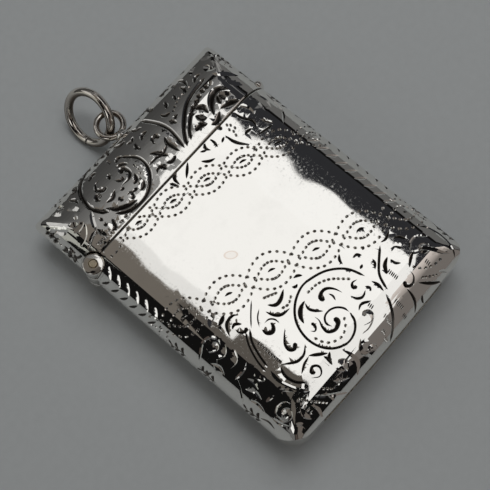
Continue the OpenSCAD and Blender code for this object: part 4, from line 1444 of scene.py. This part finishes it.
# %% Silver finishes
# Shells of polished sterling: a mirror with dark grey in the cuts, so that the drawing reads dark on white.
engraved = worn_metal("engraved_sterling", "#f1efea", "#3a332d", (0.02, 0.3), 0.06, 0.03,
                      groove_dirt_and_shade=True, drop=True)
# Inside, no cloth reaches: duller and browner.
inside = worn_metal("unpolished_silver_inside", "#cfc8ba", "#7c6d59", (0.25, 0.5), 0.8, 0.05)
# Knuckles and beads: handled smooth, with soft highlights.
plain = worn_metal("worn_plain_silver", "#ebe8e2", "#857a6c", (0.06, 0.24), 0.3, 0.03)
# Ring and loop: bright on the upper side, and painted shade in dark brown on the flanks and underside.
wire = worn_metal("wire_silver_painted_shade", "#e6dfd6", "#5a4d42", (0.08, 0.3), 0.3, 0.03, groove_dirt_and_shade=True)
# Striker: file-cut and scorched by match heads, so it is dull; its dark colour is partly that scorch and
# partly painted shade, for the shaded table that the base edge mirrors.
striker = worn_metal("file_cut_silver_painted_shade", "#6d665d", "#2f2a26", (0.3, 0.6), 0.9, 0.05)
print("silver finishes:", [metal.name for metal in (engraved, inside, plain, wire, striker)])

# %% Brass and blued steel, and what wears which
# Pin: brass wire hammered over and filed, so it is pale, warm and too dull to mirror anything.
brass = worn_metal("riveted_brass", "#fbeed3", "#cbb184", (0.55, 0.7), 0.3, 0.01)
# Spring: steel heated until it turned blue, dark and cool beside the silver.
steel = worn_metal("blued_spring_steel", "#5b6069", "#35383f", (0.22, 0.45), 0.6, 0.03)
for shell in shells.values():
    shell.data.materials.append(engraved)
    shell.data.materials.append(inside)
for piece in bpy.data.objects:
    if piece.type == "MESH" and piece.get("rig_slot") == "plain_silver":
        piece.data.materials.append(wire if piece in (ring, loop) else plain)
pin.data.materials.append(brass)
finish_of = {"striker_plate": striker, "leaf_spring": steel, "mouth_rim": inside, "spring_keeper": inside,
             "body_hinge_seat": plain, "lid_hinge_seat": plain}
for node, material in finish_of.items():
    mesh = frame["nodes"][node].data
    mesh.materials.clear()
    mesh.materials.append(material)
print("nodes kept from the model:", sorted(finish_of))

# %% [markdown]
# ## Table
# The case lies on pale grey paper. A picture of paper could be laid on it, but its fibres are finer than a
# pixel here, so they are drawn coarser, as a faint noise, and only keep the grey from looking flat.

# %% Lay the table
TABLE_HALF, FIBRE_SIZE = 1500, 1.11
bm = bmesh.new()
bmesh.ops.create_grid(bm, x_segments=1, y_segments=1, size=TABLE_HALF * MM)
table = bpy.data.objects.new("table", mesh_from(bm, "table", smooth=False))
bpy.context.scene.collection.objects.link(table)
# Uncoated paper: matt, and even in tone.
material, tree = new_material("pale_grey_paper")
where = add_node(tree, "TexCoord").outputs["Object"]
fibre = add_node(tree, "TexNoise", {"Vector": where, "Scale": per_metre(FIBRE_SIZE), "Detail": 4})
tones = {0: fibre.outputs[0], 6: colour("#b7bbbc"), 7: colour("#bfc3c4")}
tone = add_node(tree, "Mix", tones, data_type="RGBA")
paper = add_node(tree, "BsdfPrincipled", {"Base Color": tone.outputs[2], "Roughness": 0.85})
add_node(tree, "OutputMaterial", {"Surface": paper.outputs[0]})
table.data.materials.append(material)
print("table", 2 * TABLE_HALF, "mm wide")

# %% [markdown]
# ## Light
# A mirror shows its surroundings, so the light is laid out by what the silver should reflect. A picture of
# a room could surround it, but lamps can be moved one by one until each reflection lies where it should.
# One soft window, up on the right, makes the flat front white and leaves the rolls dark. Dim panels give
# the greys beside it. Walls and ceiling are strips whose glow changes from one to the next, so that their
# reflections fade. Glints and fills light the other sides, and one lamp that no mirror shows lights the
# table. Lengths here are in metres.

# %% The window, and the dim panel to its left
WINDOW_Z = 0.4
WHITE, CREAM, ROSE = "#ffffff", "#fff3e6", "#fff4ee"


def panel(name, x, y, z, size, radiance, tint=WHITE, aim=None, glossy=True):
    """A rectangular lamp facing down, or towards a point, that glows evenly at a radiance."""
    data = bpy.data.lights.new(name, "AREA")
    data.shape = "RECTANGLE"
    data.size, data.size_y = size
    data.energy = radiance * math.pi * size[0] * size[1]
    data.color = colour(tint)[:3]
    lamp = bpy.data.objects.new(name, data)
    bpy.context.scene.collection.objects.link(lamp)
    lamp.location = (x, y, z)
    if aim is not None:
        lamp.rotation_mode = "QUATERNION"
        lamp.rotation_quaternion = (Vector(aim) - lamp.location).to_track_quat("-Z", "Y")
    lamp.visible_glossy = glossy


panel("window_edge", 0.0463, 0.1015, WINDOW_Z, (0.0072, 0.079), 0.84)
panel("window_light", 0.0875, 0.0795, WINDOW_Z, (0.0752, 0.125), 1.0)
panel("window_top_near", 0.124, 0.1715, WINDOW_Z, (0.026, 0.057), 0.95)
panel("window_top_far", 0.1333, 0.2375, WINDOW_Z, (0.0195, 0.075), 0.95)
panel("window_foot_left", 0.075, -0.1565, WINDOW_Z, (0.05, 0.347), 0.9)
panel("window_foot_right", 0.1135, -0.0765, WINDOW_Z, (0.027, 0.187), 0.9)
panel("window_foot_near", 0.1075, -0.21, WINDOW_Z, (0.015, 0.08), 0.9)
panel("window_foot_middle", 0.114, -0.3, WINDOW_Z, (0.028, 0.1), 0.9)
panel("window_foot_far", 0.121, -0.405, WINDOW_Z, (0.042, 0.11), 0.9)
panel("foot_far_wall", 0.405, -0.6, 0.241, (0.57, 0.482), 0.16, ROSE, aim=(0.405, 0, 0.241))
panel("left_panel", -0.1537, 0.1735, WINDOW_Z, (0.3927, 0.163), 0.15, CREAM)
print("lamps so far:", len(bpy.data.lights))

# %% Walls and ceiling that fade
FOOT_Y, FOOT_GLOW, FOOT_STRIPS = (-0.17, -0.5), (0.6, 0.17), 8
CEILING_Y, CEILING_GLOW = (0.142, 0.18, 0.225, 0.29, 0.4, 0.47), (0.28, 0.25, 0.2, 0.145, 0.12, 0.11)
WALL_UP, WALL_GLOW = (0.0, 0.15, 0.38, 0.58, 0.687), (0.045, 0.05, 0.06, 0.08, 0.1)
CEILING_STRIPS, WALL_STRIPS, FAR_WALL_Y = 12, 7, 0.8


def strips(start, end, count):
    """Number, middle and breadth of each of the strips that fill a length."""
    edges = np.linspace(start, end, count + 1)
    return [(n, 0.5 * (a + b), abs(b - a)) for n, (a, b) in enumerate(zip(edges, edges[1:]))]


for number, y, deep in strips(*FOOT_Y, FOOT_STRIPS):
    glow = np.interp(number, (0, FOOT_STRIPS - 1), FOOT_GLOW)
    panel(f"foot_wall_{number}", 0.2575, y, WINDOW_Z, (0.305, deep), glow, ROSE)
for number, y, deep in strips(CEILING_Y[0], CEILING_Y[-1], CEILING_STRIPS):
    panel(f"ceiling_{number}", 0.02, y, WINDOW_Z, (0.3, deep), np.interp(y, CEILING_Y, CEILING_GLOW))
for number, z, tall in strips(WALL_UP[0], WALL_UP[-1], WALL_STRIPS):
    glow = np.interp(z, WALL_UP, WALL_GLOW)
    panel(f"far_wall_{number}", 0.0, FAR_WALL_Y, z, (1.2, tall), glow, aim=(0, 0, z))
print("lamps so far:", len(bpy.data.lights))

# %% Glints and fills for the other sides
ORIGIN, PALE_GREEN = (0, 0, 0), "#f6f8f0"
panel("right_wall", 0.5, 0.0, 0.13, (0.7, 0.25), 0.12, aim=ORIGIN)
panel("right_dim", 0.36, 0.05, 0.45, (0.48, 0.7), 0.025, "#e9edff")
panel("north_west_glint", -0.36, 0.5, 0.42, (0.4, 0.4), 0.5, aim=ORIGIN)
panel("north_east_glint", 0.42, 0.42, 0.42, (0.3, 0.3), 0.12, aim=ORIGIN)
panel("south_west_glint", -0.58, -0.13, WINDOW_Z, (0.44, 0.18), 0.9)
panel("west_wall_low", -0.6, 0.4, 0.15, (0.37, 0.3), 0.4, PALE_GREEN, aim=(0, 0.4, 0.15))
panel("west_wall_high", -0.6, 0.42, 0.45, (0.33, 0.3), 0.4, PALE_GREEN, aim=(0, 0.42, 0.45))
panel("left_low", 0.015, 0.0335, WINDOW_Z, (0.07, 0.057), 0.09, CREAM)
panel("left_middle", 0.0114, 0.077, WINDOW_Z, (0.0626, 0.03), 0.1, CREAM)
panel("hinge_glint", 0.026, 0.136, WINDOW_Z, (0.014, 0.018), 0.7)
panel("south_fill", -0.14, -0.62, 0.26, (0.36, 0.5), 0.13, "#fff0e6", aim=(-0.14, 0, 0.26))
panel("west_fill", -0.62, -0.14, 0.2, (0.34, 0.4), 0.13, aim=(0, -0.14, 0.2))
panel("south_west_fill", -0.5, -0.5, 0.27, (0.3, 0.5), 0.07, "#ffe6da", aim=(0, 0, 0.27))
panel("north_east_fill", 0.58, 0.38, 0.4, (0.2, 0.4), 0.13, aim=ORIGIN)
panel("top_fill", -0.1, -0.1, WINDOW_Z, (0.24, 0.2), 0.11, CREAM)
panel("table_light", 0.24, 0.13, 0.6, (0.46, 0.46), 2.02, aim=ORIGIN, glossy=False)
print("lamps:", len(bpy.data.lights))

# %% The glow of the room
ROOM_GLOW = 0.006
world = bpy.data.worlds.new("dim_room")
world.use_nodes = True
world.node_tree.nodes["Background"].inputs["Color"].default_value = (1, 1, 1, 1)
world.node_tree.nodes["Background"].inputs["Strength"].default_value = ROOM_GLOW
bpy.context.scene.world = world
bpy.context.scene.view_settings.view_transform = "Standard"
print("glow of the room:", ROOM_GLOW)

# %% [markdown]
# ## Camera
# The photograph looks down steeply, with a little roll. A Track To constraint could aim the camera, but
# would keep it level, so its three axes are worked out here and set as a matrix. Lengths are in millimetres
# again.

# %% Set the camera
LENS, SENSOR = 88.77, 36.0
AZIMUTH, ELEVATION, ROLL = (math.radians(a) for a in (-43.059, 72.894, -6.048))
DISTANCE, TARGET = 168.18, Vector((0.147, 1.152, 0.0))
NEAREST, FURTHEST = 5, 10000
level = math.cos(ELEVATION)
back = Vector((level * math.sin(AZIMUTH), -level * math.cos(AZIMUTH), math.sin(ELEVATION)))
right = Vector((math.cos(AZIMUTH), math.sin(AZIMUTH), 0.0))
up = back.cross(right)
across = right * math.cos(ROLL) + up * math.sin(ROLL)
upright = up * math.cos(ROLL) - right * math.sin(ROLL)
camera_data = bpy.data.cameras.new("camera")
camera_data.lens, camera_data.sensor_width = LENS, SENSOR
camera_data.clip_start, camera_data.clip_end = NEAREST * MM, FURTHEST * MM
camera = bpy.data.objects.new("camera", camera_data)
bpy.context.scene.collection.objects.link(camera)
turn = Matrix((across, upright, back)).transposed().to_4x4()
camera.matrix_world = Matrix.Translation((TARGET + back * DISTANCE) * MM) @ turn
bpy.context.scene.camera = camera
print("camera at", [round(c / MM, 1) for c in camera.location], "mm")
